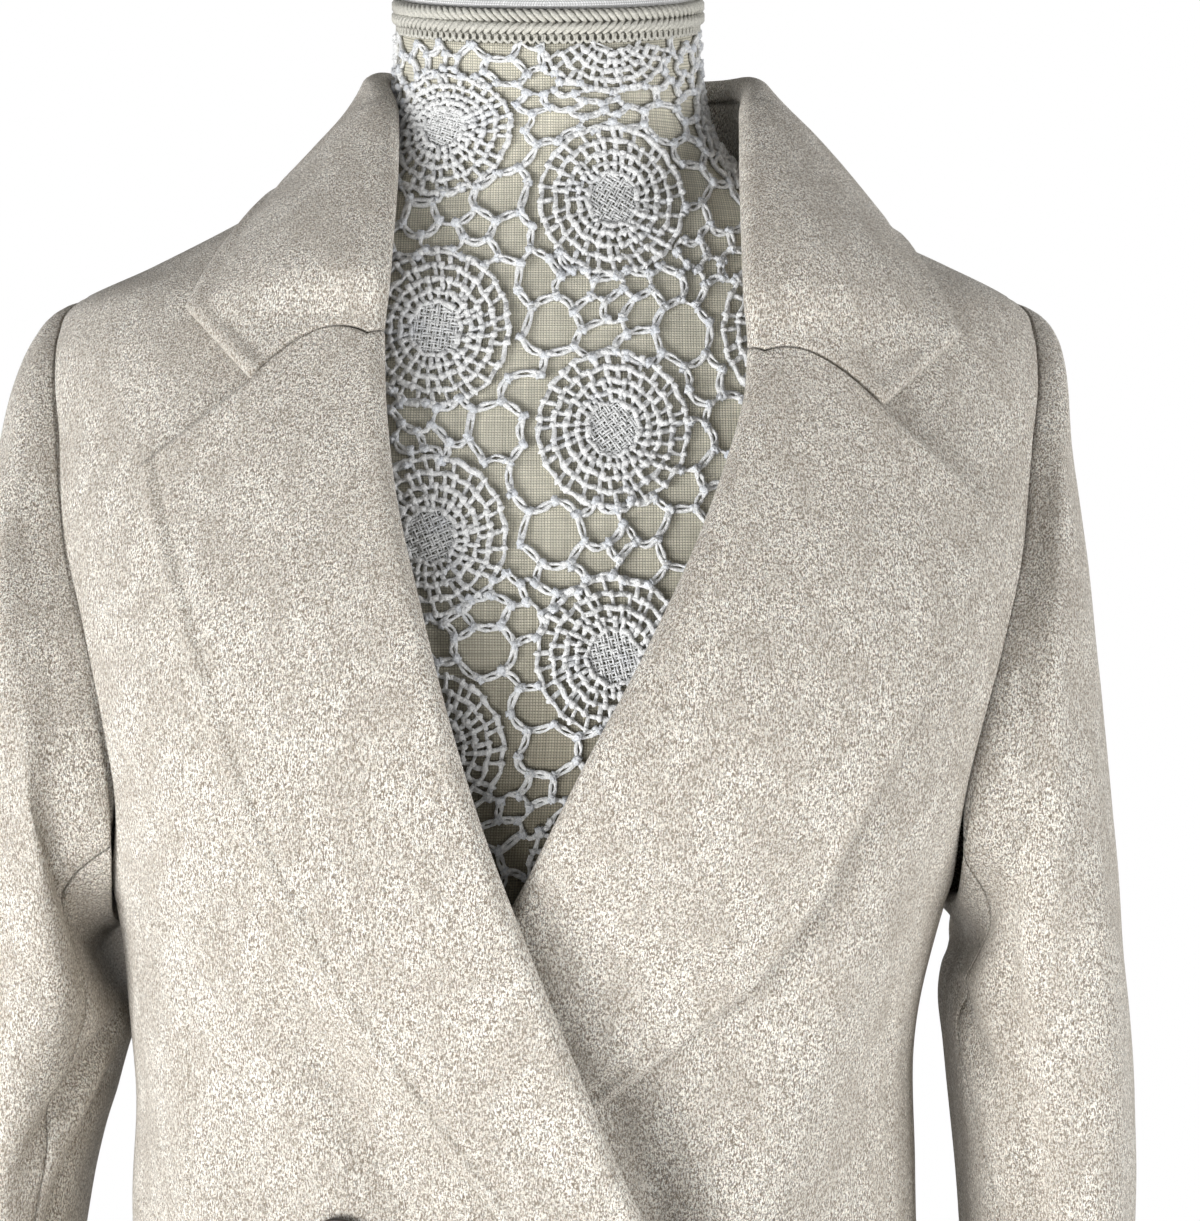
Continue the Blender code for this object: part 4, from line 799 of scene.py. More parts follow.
def folded_thickness(grid):
    """Thickness of a lapel or the collar: single cloth at the leg's end, cloth and facing
    from the roll on, a soft bead close to the free edge, and a dip inside the bead."""
    thick = CLOTH + (DOUBLE - CLOTH) * ramp(np.arange(grid.shape[1]), 0, LAPEL_CELLS[0] + 1)
    run = np.linalg.norm(np.diff(grid, axis=1), axis=2)[:, ::-1]
    from_edge = np.concatenate([np.zeros((len(grid), 1)), np.cumsum(run, axis=1)], 1)[:, ::-1]
    bead = WELT_HEIGHT * np.exp(-((from_edge - WELT_WIDTH) / WELT_WIDTH) ** 2)
    dip = WELT_HEIGHT * np.exp(-((from_edge - WELT_DIP * WELT_WIDTH) / WELT_WIDTH) ** 2)
    return thick + bead - dip


def collar_grid(corner, sweep, cells):
    """Middle of the collar, from the right gorge round the back of the neck to the left.

    `corner` steps lead from each gorge to the collar's point, where the edge turns
    sharply, and `sweep` steps lead from point to point round the neck. A row is a
    stand, the roll and a parabola to the edge; the end rows follow the lapels.
    """
    table = np.array(COLLAR_RIGHT + COLLAR_LEFT[::-1])
    last = len(table) - 1
    knots = np.arange(last + 1)
    length = np.linalg.norm(np.diff(table[1:-1, 9:12], axis=0), axis=1)
    length = np.concatenate([[0], np.cumsum(length)])
    even = np.interp(np.linspace(0, length[-1], sweep + 1), length, knots[1:-1])
    at = np.concatenate([np.linspace(0, 1, corner + 1)[:-1], even,
                         np.linspace(last - 1, last, corner + 1)[1:]])
    row = np.stack([smooth(at, knots, table[:, i]) for i in range(12)], -1)
    for i in range(9, 12):
        round_neck = smooth(at, knots[1:-1], table[1:-1, i])
        row[:, i] = np.where((at >= 1) & (at <= last - 1), round_neck,
                             np.interp(at, knots, table[:, i]))
    seam, roll, mid, edge = (row[:, i:i + 3] for i in (0, 3, 6, 9))
    out = height_over(roll)[1]
    grid = folded(seam, roll, mid, out, np.full((len(at), 1), COLLAR_RADIUS), cells)
    cover = lift(bend(grid[:, -1], mid, edge, cells[2]), LAY + DOUBLE / 2)
    grid = np.concatenate([grid, cover], 1)
    for side, first, share in ((-1, 0, at), (1, -1, last - at)):
        lapel = lapel_grid(side, STATIONS, LAPEL_CELLS)[:, :grid.shape[1]]
        border = lapel[0] + unit(lapel[0] - lapel[1]) * 2 * SEAM
        weight = (1 - ramp(share, 0.0, COLLAR_STATIONS))[:, None, None]
        grid = grid + (border - grid[first]) * weight
    return grid


def sleeve_point(side, row, turn):
    """Middle of a sleeve at a row (0 armhole, last cuff) and a turn from the outer line.

    Each ring is an oval whose long way is across the body's side; over the cap the
    armhole's own outline turns into it. Turns run by the front, in degrees.
    """
    table = SLEEVE_RIGHT if side < 0 else SLEEVE_LEFT
    knots = np.arange(len(table))
    outer_x, outer_z, inner_x, inner_z, mid_y, depth = (
        smooth(row, knots, column(table, index)) for index in range(6))
    angle = np.radians(turn)
    power = 2 / SLEEVE_SQUARENESS
    oval_up = np.sign(np.cos(angle)) * np.abs(np.cos(angle)) ** power
    oval_side = -np.sign(np.sin(angle)) * np.abs(np.sin(angle)) ** power
    y_line, z_line = armhole_point(turn)
    low, high = UNDERARM_Z, SHOULDER_TIP_Z
    hole_up = (z_line - (low + high) / 2) / ((high - low) / 2)
    hole_side = (y_line - ARMHOLE_MIDDLE_Y) / ARMHOLE_HALF
    cap = 1 - ramp(row, 0, CAP_RINGS)
    up = oval_up + (hole_up - oval_up) * cap
    across = oval_side + (hole_side - oval_side) * cap
    half = CLOTH / 2
    centre_x, centre_z = (outer_x + inner_x) / 2, (outer_z + inner_z) / 2
    x = centre_x + (outer_x - inner_x - 2 * half) / 2 * up
    z = centre_z + (outer_z - inner_z) / 2 * up
    y = mid_y + (depth - half) * across
    theta = side_theta(y_line, z_line, 1)
    hole = skin(theta, z_line)
    straight = (hole[..., 2] - low) / (high - low)
    bow = hole[..., 0] - (table[0][2] + (table[0][0] - table[0][2]) * straight)
    x = x + bow * (1 - ramp(row, 0, BOW_RINGS))
    ring = np.stack([side * x, y, z], -1)
    start = np.clip(1 - row, 0, 1)[..., None] ** 2
    return ring + (armhole_start(side, row, turn) - ring) * start


def armhole_start(side, row, turn):
    """Where the sleeve's cloth leaves the armhole: edge to edge with the body, and
    outside the body's cloth under the arm, where the sleeve hangs down beside it."""
    y, z = armhole_point(turn)
    y_next, z_next = armhole_point(turn + 1.0)
    theta = side_theta(y, z, side)
    hole = skin(theta, z)
    out = skin_out(theta, z)
    along = skin(side_theta(y_next, z_next, side), z_next) - hole
    inward = unit(np.cross(out, along)) * side
    away = np.abs((turn + 180) % 360 - 180)
    under = ramp(away, *UNDER_TURNS)
    height = -CLOTH / 2 + (LAY + 1.5 * CLOTH) * under
    reach = (2 * SEAM + CAP_GAP * np.clip(row, 0, 1)) * (1 - under) + 2 * SEAM
    reach = reach + ARMPIT_GAP * faded(away, ARMPIT_TURNS[:2], ARMPIT_TURNS[2:])
    return hole + out * height[..., None] + inward * reach[..., None]


def sleeve_fold(side, row, turn):
    """Height of the drag folds, each a ridge or trough along a slanting line."""
    rise = np.zeros(np.broadcast(row, turn).shape)
    for row0, turn0, row1, turn1, width, height in SLEEVE_FOLDS[side]:
        along = (row - row0) / (row1 - row0)
        away = (turn - (turn0 + (turn1 - turn0) * along) + 180) % 360 - 180
        rise = rise + height * faded(along, *FOLD_FADE) * np.exp(-(away / width) ** 2)
    return rise


def seam_turns(side, row):
    """Turns of the front and the back seam of a sleeve at each row."""
    knots = column(SLEEVE_SEAMS, 0)
    front = smooth(row, knots, column(SLEEVE_SEAMS, 1 if side < 0 else 2))
    return front, 360 - smooth(row, knots, column(SLEEVE_SEAMS, 3))


def sleeve_grid(side, rows, columns, upper):
    """Middle of the upper or the under sleeve, between its two seams."""
    row = rows[:, None]
    ends = []
    for index, way in enumerate((1, -1) if upper else (-1, 1)):
        seam, before, after = (seam_turns(side, row + step)[index] for step in (0, -0.1, 0.1))
        run = unit(sleeve_point(side, row + 0.1, after) - sleeve_point(side, row - 0.1, before))
        step = (sleeve_point(side, row, seam + TURN_ASIDE)
                - sleeve_point(side, row, seam - TURN_ASIDE))
        step = step - (step * run).sum(-1, keepdims=True) * run
        gap = SEAM * (1 - (1 - LONG_SEAM_SHARE) * ramp(row, *LONG_SEAM_ROWS))
        ends.append(seam - way * 2 * TURN_ASIDE * gap / np.linalg.norm(step, axis=-1))
    front, back = ends
    share = np.linspace(0, 1, columns + 1)[None]
    turn = back - 360 + (front - back + 360) * share if upper else front + (back - front) * share
    row = row + 0 * turn
    middle = sleeve_point(side, row, turn)
    free = np.maximum(row, 1.0)
    around = (sleeve_point(side, free, turn + TURN_ASIDE)
              - sleeve_point(side, free, turn - TURN_ASIDE))
    along = sleeve_point(side, free + 0.05, turn) - sleeve_point(side, free - 0.05, turn)
    out = unit(np.cross(along, around)) * -side
    middle = middle + out * sleeve_fold(side, row, turn)[..., None]
    under_arm = ramp(np.abs((turn + 180) % 360 - 180), *FREE_TURNS)
    y, z = armhole_point(turn)
    beside_panel = (np.clip(1 - row, 0, 1) ** 2 * (1 - under_arm))[..., None]
    out = unit(out + (skin_out(side_theta(y, z, side), z) - out) * beside_panel)
    beside = np.where(row >= 1, ramp(middle[..., 2], *BESIDE_Z), (row > 0) * under_arm)
    clear = lift(middle, SLEEVE_LIFT * LAY + CLOTH / 2)
    return middle + (clear - middle) * beside[..., None], out


def neck_slant(points, share):
    """Ring heights tilted with the slanted top of the neck."""
    points[..., 2] += share * NECK_SLANT * points[..., 1]
    return points


def neck_ring(grow, z, sides):
    """Oval of the neck's top, grown outwards and tilted, at a height at its sides."""
    _, width, front, back = FORM_NECK[-1]
    theta = np.linspace(0, 2 * math.pi, sides, endpoint=False)
    depth = np.where(np.cos(theta) > 0, front, back) + grow
    ring = np.stack([(width + grow) * np.sin(theta), -depth * np.cos(theta), z + 0 * theta], -1)
    return neck_slant(ring, 1.0)


# ---- meshes from grids ----
def fill_mesh(name, points, quads, corners, material):
    """Object from arrays: points, four-sided faces, and each face's corners' place on
    the cloth. Faces that look in are all turned round."""
    mesh = bpy.data.meshes.new(name)
    quads = np.asarray(quads, np.int64)
    points = np.asarray(points, float)
    a, b, c, d = (points[quads[:, i]] for i in range(4))
    volume = (np.cross(b - a, c - a) * a).sum() + (np.cross(c - a, d - a) * a).sum()
    if volume < 0:
        quads, corners = quads[:, ::-1], corners[:, ::-1]
    mesh.vertices.add(len(points))
    mesh.vertices.foreach_set("co", points.astype(np.float32).ravel())
    mesh.loops.add(quads.size)
    mesh.loops.foreach_set("vertex_index", quads.ravel().astype(np.int32))
    mesh.polygons.add(len(quads))
    mesh.polygons.foreach_set("loop_start", np.arange(0, quads.size, 4, dtype=np.int32))
    layer = mesh.uv_layers.new(name="cloth")
    layer.data.foreach_set("uv", np.asarray(corners, np.float32).ravel())
    mesh.update(calc_edges=True)
    mesh.validate()
    mesh.shade_smooth()
    mesh.materials.append(material)
    piece = bpy.data.objects.new(name, mesh)
    bpy.context.collection.objects.link(piece)
    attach(piece, "root")
    return piece


def laid_out(grid):
    """Place on the cloth in metres: the way run along a grid's rows and down its columns."""
    across = np.linalg.norm(np.diff(grid, axis=1), axis=2)
    across = np.concatenate([np.zeros((len(grid), 1)), np.cumsum(across, axis=1)], 1)
    across = across - across[:, grid.shape[1] // 2][:, None]
    down = np.linalg.norm(np.diff(grid[:, grid.shape[1] // 2], axis=0), axis=1)
    down = np.concatenate([[0], np.cumsum(down)])[:, None] + 0 * across
    return np.stack([across, down], -1)


def shell(name, middle, thick, material, out=None, free=(1.0, 1.0, 1.0, 1.0)):
    """Closed cloth of a grid, half the thickness to each side, with rounded borders.

    The cells next to a border draw in, and the border's points turn from the outer
    face to the inner one on half an oval that just reaches the grid's own border.
    `free` says for the top, the foot, the start and the end of the rows how wide that
    oval is, as a share of the thickness: 1 where the border is free, less where it is
    sewn to a neighbour. A share may hold one number for each point of the border.
    """
    rows, columns = middle.shape[:2]
    half = 0.5 * np.broadcast_to(np.asarray(thick, float), (rows, columns))[..., None]
    out = grid_out(middle) if out is None else out
    place = laid_out(middle)
    across = unit(np.gradient(middle, axis=1))
    down = unit(np.gradient(middle, axis=0))
    top, foot = (half[row] * np.broadcast_to(share, columns)[:, None]
                 for row, share in ((0, free[0]), (-1, free[1])))
    start, end = (half[:, part] * np.broadcast_to(share, rows)[:, None]
                  for part, share in ((0, free[2]), (-1, free[3])))
    near, beside = (np.clip(1 - np.arange(count) / EDGE_CELLS, 0, 1)[:, None]
                    for count in (rows, columns))
    drawn = middle + across * (start[:, None] * beside - end[:, None] * beside[::-1])
    drawn = drawn + down * (top * near[:, None] - foot * near[::-1, None])
    side = np.zeros_like(middle)
    side[:, 0] -= across[:, 0] * start
    side[:, -1] += across[:, -1] * end
    side[0] -= down[0] * top
    side[-1] += down[-1] * foot
    index = np.arange(rows * columns).reshape(rows, columns)
    border = np.concatenate([index[0], index[1:, -1], index[-1, -2::-1], index[-2:0:-1, 0]])
    layers, places, loops = [], [], []
    for turn in (0, 45, 90, 135, 180):
        lie, reach = math.cos(math.radians(turn)), math.sin(math.radians(turn))
        points = drawn + lie * half * out + reach * side
        keep = slice(None) if turn in (0, 180) else border
        at = sum(len(layer) for layer in layers)
        layers.append(points.reshape(-1, 3)[keep])
        places.append(place.reshape(-1, 2)[keep])
        loops.append(at + (border if turn in (0, 180) else np.arange(len(border))))
    outer = np.stack([index[:-1, :-1], index[:-1, 1:], index[1:, 1:], index[1:, :-1]], -1)
    outer = outer.reshape(-1, 4)
    points, places = np.concatenate(layers), np.concatenate(places)
    quads = [outer, outer[:, ::-1] + len(points) - rows * columns]
    for one, other in zip(loops, loops[1:]):
        quads.append(np.stack([np.roll(one, -1), one, other, np.roll(other, -1)], -1))
    quads = np.concatenate(quads)
    return fill_mesh(name, points, quads, places[quads], material)


def rods(lines, level, radius, surface):
    """Threads of four-sided section laid along lines on a surface.

    `lines` holds threads by points by place on the surface; `level` is the height of
    their middles over it and `radius` their half thickness, one a point. A ring is
    the point plus the radius times the cosine across and the sine out.
    """
    middle, out = surface(lines[..., 0], lines[..., 1])
    middle = middle + out * level[..., None]
    along = unit(np.gradient(middle, axis=1))
    across = unit(np.cross(out, along))
    up = np.cross(along, across)
    turn = np.radians([45, 135, 225, 315])[:, None]
    rings = middle[:, :, None] + radius[..., None, None] * (
        np.cos(turn) * across[:, :, None] + np.sin(turn) * up[:, :, None])
    count, steps = lines.shape[:2]
    index = np.arange(count * steps * 4).reshape(count, steps, 4)
    turned = np.roll(index, -1, axis=2)
    sides = np.stack([index[:, :-1], turned[:, :-1], turned[:, 1:], index[:, 1:]], -1)
    quads = np.concatenate([sides.reshape(-1, 4), index[:, 0, ::-1], index[:, -1]])
    place = np.repeat(lines[:, :, None], 4, axis=2).reshape(-1, 2)
    return rings.reshape(-1, 3), quads, place[quads]


def joined(name, parts, material):
    """One object from several sets of points, faces and places."""
    starts = np.cumsum([0] + [len(part[0]) for part in parts])
    return fill_mesh(name, np.concatenate([part[0] for part in parts]),
                     np.concatenate([part[1] + start for part, start in zip(parts, starts)]),
                     np.concatenate([part[2] for part in parts]), material)


def ring_quads(count, sides):
    """Faces of a body through rings of points: its walls, then strips across both ends."""
    index = np.arange(count * sides).reshape(count, sides)
    turned = np.roll(index, -1, axis=1)
    walls = np.stack([index[:-1], turned[:-1], turned[1:], index[1:]], -1).reshape(-1, 4)
    k = np.arange(sides // 2 - 1)
    strip = np.stack([k, k + 1, sides - 2 - k, sides - 1 - k], -1)
    return np.concatenate([walls, strip[:, ::-1], strip + index[-1, 0]])


def closed_rings(name, rings, material):
    """Closed body through rings of points, laid out round its walls and flat on its ends."""
    count, sides = rings.shape[:2]
    quads = ring_quads(count, sides)
    place = laid_out(np.concatenate([rings, rings[:, :1]], axis=1))
    a, b, c, d = place[:-1, :-1], place[:-1, 1:], place[1:, 1:], place[1:, :-1]
    on_walls = np.stack([a, b, c, d], -2).reshape(-1, 4, 2)
    flat = rings.reshape(-1, 3)[quads[len(on_walls):]][..., :2]
    return fill_mesh(name, rings.reshape(-1, 3), quads, np.concatenate([on_walls, flat]), material)


def turned_rings(profile, sides):
    """Radius and height of a profile, turned all round Z."""
    profile = np.array(profile)
    turn = np.arange(sides) * 2 * math.pi / sides
    return np.stack([profile[:, :1] * np.cos(turn), profile[:, :1] * np.sin(turn),
                     profile[:, 1:] + 0 * turn], -1)


def rounded(across, up, radius, turns, rise=None):
    """Points of an arc round a middle: the radius times cosine across, the rise times sine up."""
    rise = radius if rise is None else rise
    return [(across + radius * math.cos(turn), up + rise * math.sin(turn)) for turn in turns]


# ---- shader maths ----
class Term:
    """A number that changes over a surface: a shader socket with arithmetic."""

    def __init__(self, paint, socket):
        self.paint, self.socket = paint, socket

    def __add__(self, other):
        return self.paint.math("ADD", self, other)

    def __sub__(self, other):
        return self.paint.math("SUBTRACT", self, other)

    def __rsub__(self, other):
        return self.paint.math("SUBTRACT", other, self)

    def __mul__(self, other):
        return self.paint.math("MULTIPLY", self, other)

    __radd__ = __add__
    __rmul__ = __mul__

    def between(self, low, high):
        """0 at low, 1 at high, with a soft start and end."""
        made = self.paint.node("ShaderNodeMapRange", {"interpolation_type": "SMOOTHSTEP"},
                               {0: self, 1: low, 2: high, 3: 0.0, 4: 1.0})
        return Term(self.paint, made.outputs[0])


class Paint:
    """One material: a Principled shader and the nodes that feed it."""

    def __init__(self, name, roughness, metallic=0.0, sheen=0.0, specular=0.5):
        self.material = bpy.data.materials.new(name)
        self.material.use_nodes = True
        self.tree = self.material.node_tree
        self.shader = self.tree.nodes["Principled BSDF"]
        for key, value in (("Roughness", roughness), ("Metallic", metallic),
                           ("Sheen Weight", sheen), ("Sheen Roughness", 0.5),
                           ("Specular IOR Level", specular)):
            self.shader.inputs[key].default_value = value

    def node(self, kind, settings, inputs):
        """A node of a kind: its settings first, then the values or links of its sockets."""
        made = self.tree.nodes.new(kind)
        for key, value in settings.items():
            if key == "stops":
                for number, (at, colour) in enumerate(value):
                    stops = made.color_ramp.elements
                    stop = stops[number] if number < 2 else stops.new(at)
                    stop.position, stop.color = at, (*colour, 1.0)
            else:
                setattr(made, key, value)
        for key, value in inputs.items():
            if isinstance(value, Term):
                self.tree.links.new(value.socket, made.inputs[key])
            else:
                made.inputs[key].default_value = value
        return made

    def math(self, operation, *values):
        made = self.node("ShaderNodeMath", {"operation": operation}, dict(enumerate(values)))
        return Term(self, made.outputs[0])

    def place(self, scale, turned, on_cloth):
        """Place in the room, or on the cloth, in metres: times a scale, then turned."""
        if on_cloth:
            source = self.node("ShaderNodeUVMap", {"uv_map": "cloth"}, {}).outputs[0]
        else:
            source = self.node("ShaderNodeTexCoord", {}, {}).outputs["Object"]
        made = self.node("ShaderNodeMapping", {}, {
            "Vector": Term(self, source), "Rotation": (turned, turned, 0.0),
            "Scale": scale if isinstance(scale, tuple) else (scale,) * 3})
        return Term(self, made.outputs[0])

    def noise(self, scale, detail=2.0, rough=0.5, turned=0.0, on_cloth=False):
        """Noise whose grain is 1 / scale wide, along each axis if the scale is three numbers."""
        where = self.place(scale, turned, on_cloth)
        made = self.node("ShaderNodeTexNoise", {}, {"Vector": where, "Scale": 1.0,
                                                    "Detail": detail, "Roughness": rough})
        return Term(self, made.outputs[0])

    def axes(self, on_cloth=False):
        """Place in metres as three separate numbers."""
        made = self.node("ShaderNodeSeparateXYZ", {}, {0: self.place(1.0, 0.0, on_cloth)})
        return [Term(self, socket) for socket in made.outputs]

    def mix(self, share, first, second, blend="MIX"):
        """Colour between two colours; a plain colour is three numbers."""
        ends = [end if isinstance(end, Term) else (*end, 1.0) for end in (first, second)]
        made = self.node("ShaderNodeMix", {"data_type": "RGBA", "blend_type": blend},
                         {0: share, 6: ends[0], 7: ends[1]})
        return Term(self, made.outputs[2])

    def colour(self, colour):
        self.tree.links.new(colour.socket, self.shader.inputs["Base Color"])

    def rough(self, value):
        self.tree.links.new(value.socket, self.shader.inputs["Roughness"])

    def bump(self, height, distance):
        made = self.node("ShaderNodeBump", {}, {"Distance": distance, "Height": height})
        self.tree.links.new(made.outputs[0], self.shader.inputs["Normal"])


def wool():
    """Oatmeal melange wool: cream ground with taupe, grey and white fibres and a soft nap.

    Fibres are noise drawn out down the coat or across it; a point is taupe, grey, white
    or brown where such a noise passes a level. Broad noise leaves the nap darker in places.
    """
    settings = bpy.context.scene.coat_settings
    paint = Paint("wool_nap", roughness=0.92, sheen=0.15, specular=0.15)
    light, dark = (np.array(part[:]) for part in (settings.wool_light, settings.wool_dark))
    fleck = 1 / settings.fleck_size

    def fibres(across, along, turned):
        scale = (across * fleck, across * fleck, along * fleck)
        return paint.noise(scale, 2.0, 0.75, turned)
    short, long, cross = fibres(1.25, 0.85, 0.0), fibres(1.9, 0.55, 0.3), fibres(0.7, 1.8, -0.5)
    patch = paint.noise((62.0, 62.0, 40.0), 3.0, 0.65)
    white, grey = np.minimum(1.15 * light, 0.98), 0.33 * light[[1, 1, 1]]
    brown = 0.60 * dark * [1.10, 1.0, 0.90]
    shade = 0.86 * dark + 0.14 * light
    ground = paint.mix(short.between(0.41, 0.59), dark, light)
    greyed = paint.mix(cross.between(0.52, 0.62) * 0.75, ground, grey)
    flecked = paint.mix(long.between(0.54, 0.62) * 0.9, greyed, white)
    specked = paint.mix(long.between(0.45, 0.37) * 0.85, flecked, brown)
    paint.colour(paint.mix(patch.between(0.36, 0.64) * 0.36, specked, shade))
    paint.bump(short * 0.6 + long + cross * 0.8 + patch, distance=settings.nap_depth)
    return paint.material


def linen(name="linen_cover", bleach=(1.0, 1.0, 1.0)):
    """Plain-woven linen: warp and weft threads over and under, with thicker slubs, and painted
    shade that darkens it towards the bottom.
    """
    settings = bpy.context.scene.form_settings
    paint = Paint(name, roughness=0.9, sheen=0.1, specular=0.2)
    pitch = settings.linen_pitch
    turns = math.pi / pitch
    u, v = paint.axes(on_cloth=True)[:2]
    wobble = paint.noise((90.0, 90.0, 1.0), on_cloth=True) * (0.3 * pitch)
    warp, weft = (paint.math("ABSOLUTE", paint.math("SINE", (way + wobble) * turns))
                  for way in (u, v))
    gap = (warp * weft).between(0.05, 0.5)
    slub = (paint.noise((0.9 / pitch, 16.0, 1.0), on_cloth=True)
            + paint.noise((16.0, 0.9 / pitch, 1.0), on_cloth=True)) * 0.5
    pale = np.minimum(np.array(settings.linen_colour[:]) * bleach, 0.9)
    ground = paint.mix(slub.between(0.36, 0.64), 0.80 * pale, np.minimum(1.12 * pale, 1))
    cloth = paint.mix(gap, 0.60 * pale, ground)
    # painted shade: low on the form the cloth is multiplied by a dark tint, for the lapels' shadow
    # on the chest
    unshaded = paint.axes()[2].between(*PAINTED_SHADE_Z)
    paint.colour(paint.mix(unshaded, paint.mix(1.0, cloth, PAINTED_SHADE_TINT, "MULTIPLY"), cloth))
    paint.bump(gap * 0.7 + slub, distance=0.0005)
    return paint.material


def crochet(name="crochet_cotton", tint=(1.0, 1.0, 1.0)):
    """White cotton thread: fine plies, and painted grey-blue shade in broad noise patches, for the
    bluish shadows in the lace.
    """
    settings = bpy.context.scene.form_settings
    paint = Paint(name, roughness=0.85, sheen=0.15, specular=0.25)
    white = np.array(settings.lace_colour[:]) * tint
    plies = paint.noise(950.0, 3.0, 0.7)
    lumps = paint.noise(60.0, 3.0, 0.55)
    cotton = paint.mix(plies.between(0.36, 0.62), 0.74 * white, white)
    # painted shade: broad noise patches mix the cotton towards grey-blue
    paint.colour(paint.mix(lumps.between(0.52, 0.72) * 0.25, cotton, white * [0.62, 0.66, 0.76]))
    paint.bump(plies, distance=0.0012)
    return paint.material


def cord_cotton(name="cord_cotton"):
    """Cream cotton of the neck's cord trim and the buttons' thread, with fine plies."""
    settings = bpy.context.scene.form_settings
    paint = Paint(name, roughness=0.85, sheen=0.1, specular=0.25)
    cream = np.array(settings.trim_colour[:])
    plies = paint.noise(1300.0, 3.0, 0.6)
    paint.colour(paint.mix(plies.between(0.3, 0.7), 0.66 * cream, cream))
    paint.bump(plies, distance=0.0005)
    return paint.material


def horn():
    """Dark polished horn: faint brown streaks, a little duller where handled."""
    settings = bpy.context.scene.coat_settings
    paint = Paint("horn_button", roughness=0.3)
    dark = np.array(settings.button_colour[:])
    streaks = paint.noise((60.0, 60.0, 320.0), 4.0, 0.6)
    scuffs = paint.noise(700.0, 3.0, 0.6)
    brown = 2.6 * dark * [1.25, 1.0, 0.8]
    paint.colour(paint.mix(streaks.between(0.45, 0.75) * 0.6, dark, brown))
    paint.rough(0.24 + scuffs * 0.22)
    return paint.material


def enamel():
    """Satin paint on the foot: faint orange peel and a little dust in broad patches."""
    settings = bpy.context.scene.form_settings
    paint = Paint("pale_enamel", roughness=0.4)
    pale = np.array(settings.foot_colour[:])
    peel = paint.noise(420.0)
    dust = paint.noise(14.0, 4.0, 0.6)
    dusty = 0.82 * pale * [1.0, 0.98, 0.94]
    paint.colour(paint.mix(dust.between(0.4, 0.8) * 0.25, pale, dusty))
    paint.rough(0.34 + dust * 0.16)
    paint.bump(peel, distance=0.0002)
    return paint.material


def satin_steel():
    """Satin tube: fine scratches that run round it."""
    paint = Paint("satin_steel", roughness=0.3, metallic=1.0)
    grain = paint.noise((60.0, 60.0, 2600.0), 3.0, 0.6)
    paint.colour(paint.mix(grain, (0.50, 0.50, 0.51), (0.64, 0.64, 0.65)))
    paint.rough(0.24 + grain * 0.18)
    paint.bump(grain, distance=0.00008)
    return paint.material


# ---- form, lace and small things ----
def form_rings(sides):
    """Rings of the form: the coat's sections drawn in, then the neck's own sections."""
    theta = np.linspace(-math.pi, math.pi, sides, endpoint=False)
    knots = column(FORM_DEPTH, 0)
    rings = []
    for z in np.linspace(FORM_BOTTOM_Z, FORM_DEPTH[-1][0], FORM_ROWS):
        z_line = z + 0 * theta
        depth = smooth(z_line, knots, column(FORM_DEPTH, 1))
        angle = theta_of(theta, z_line)
        rings.append(skin(angle, z_line) - skin_out(angle, z_line) * depth[:, None])
    rings[0][:, 2] = FORM_BOTTOM_Z
    last = len(FORM_NECK) - 1
    for at in np.linspace(0, last, NECK_ROWS):
        z, width, front, back = (smooth(at, np.arange(last + 1), column(FORM_NECK, part))
                                 for part in range(4))
        depth = np.where(np.cos(theta) > 0, front, back)
        ring = np.stack([width * np.sin(theta), -depth * np.cos(theta), z + 0 * theta], -1)
        rings.append(neck_slant(ring, ramp(at, 2, last)))
    return np.array(rings)


def chart(rings, heights, cells=1200):
    """Way to read a stack of closed rings by arc length from the front and by height.

    A ring starts at the back. Its points are spread evenly along its length, and a
    place between them is the weighted mean of the four around it.
    """
    rings = np.concatenate([rings, rings[:, :1]], axis=1)
    run = np.linalg.norm(np.diff(rings, axis=1), axis=2)
    run = np.concatenate([np.zeros((len(rings), 1)), np.cumsum(run, axis=1)], 1)
    even = np.array([[np.interp(np.linspace(0, length[-1], cells + 1), length, ring[:, axis])
                      for axis in range(3)] for length, ring in zip(run, rings)])
    even = even.transpose(0, 2, 1)
    out = grid_out(even)
    if (out[..., :2] * even[..., :2]).sum() < 0:
        out = -out
    half = run[:, -1] / 2

    def read(s, z):
        row = np.interp(z, heights, np.arange(len(heights)))
        i = np.clip(np.floor(row).astype(int), 0, len(heights) - 2)
        up = (row - i)[..., None]
        around = (s / (half[i] + (half[i + 1] - half[i]) * up[..., 0]) + 1) % 2 * cells / 2
        j = np.clip(np.floor(around).astype(int), 0, cells - 1)
        on = (around - j)[..., None]

        def between(grid):
            low = grid[i, j] * (1 - on) + grid[i, j + 1] * on
            high = grid[i + 1, j] * (1 - on) + grid[i + 1, j + 1] * on
            return low * (1 - up) + high * up
        return between(even), unit(between(out))
    return read


def form_chart():
    rings = form_rings(FORM_SIDES)
    low = np.linspace(FORM_BOTTOM_Z, FORM_DEPTH[-1][0], FORM_ROWS)
    last = len(FORM_NECK) - 1
    high = smooth(np.linspace(0, last, NECK_ROWS), np.arange(last + 1), column(FORM_NECK, 0))
    return chart(rings, np.concatenate([low, high]))


FORM_SURFACE = form_chart()


def in_view(lines):
    """Which threads lie on the neck, or between the lapels and a little way under them."""
    s, z = lines[..., 0].mean(1), lines[..., 1].mean(1)
    right, left = (np.interp(z, column(table, 1)[::-1], column(table, 0)[::-1])
                   for table in (LAPEL_RIGHT, LAPEL_LEFT))
    between = (s > right - LACE_UNDER) & (s < left + LACE_UNDER) & (z > LACE_BOTTOM_Z)
    half, front_z, side_z = LACE_NECK
    on_neck = z > np.where(np.abs(s) < half, front_z, side_z)
    return (between | on_neck) & (z < FORM_NECK[-1][0] - 0.001)


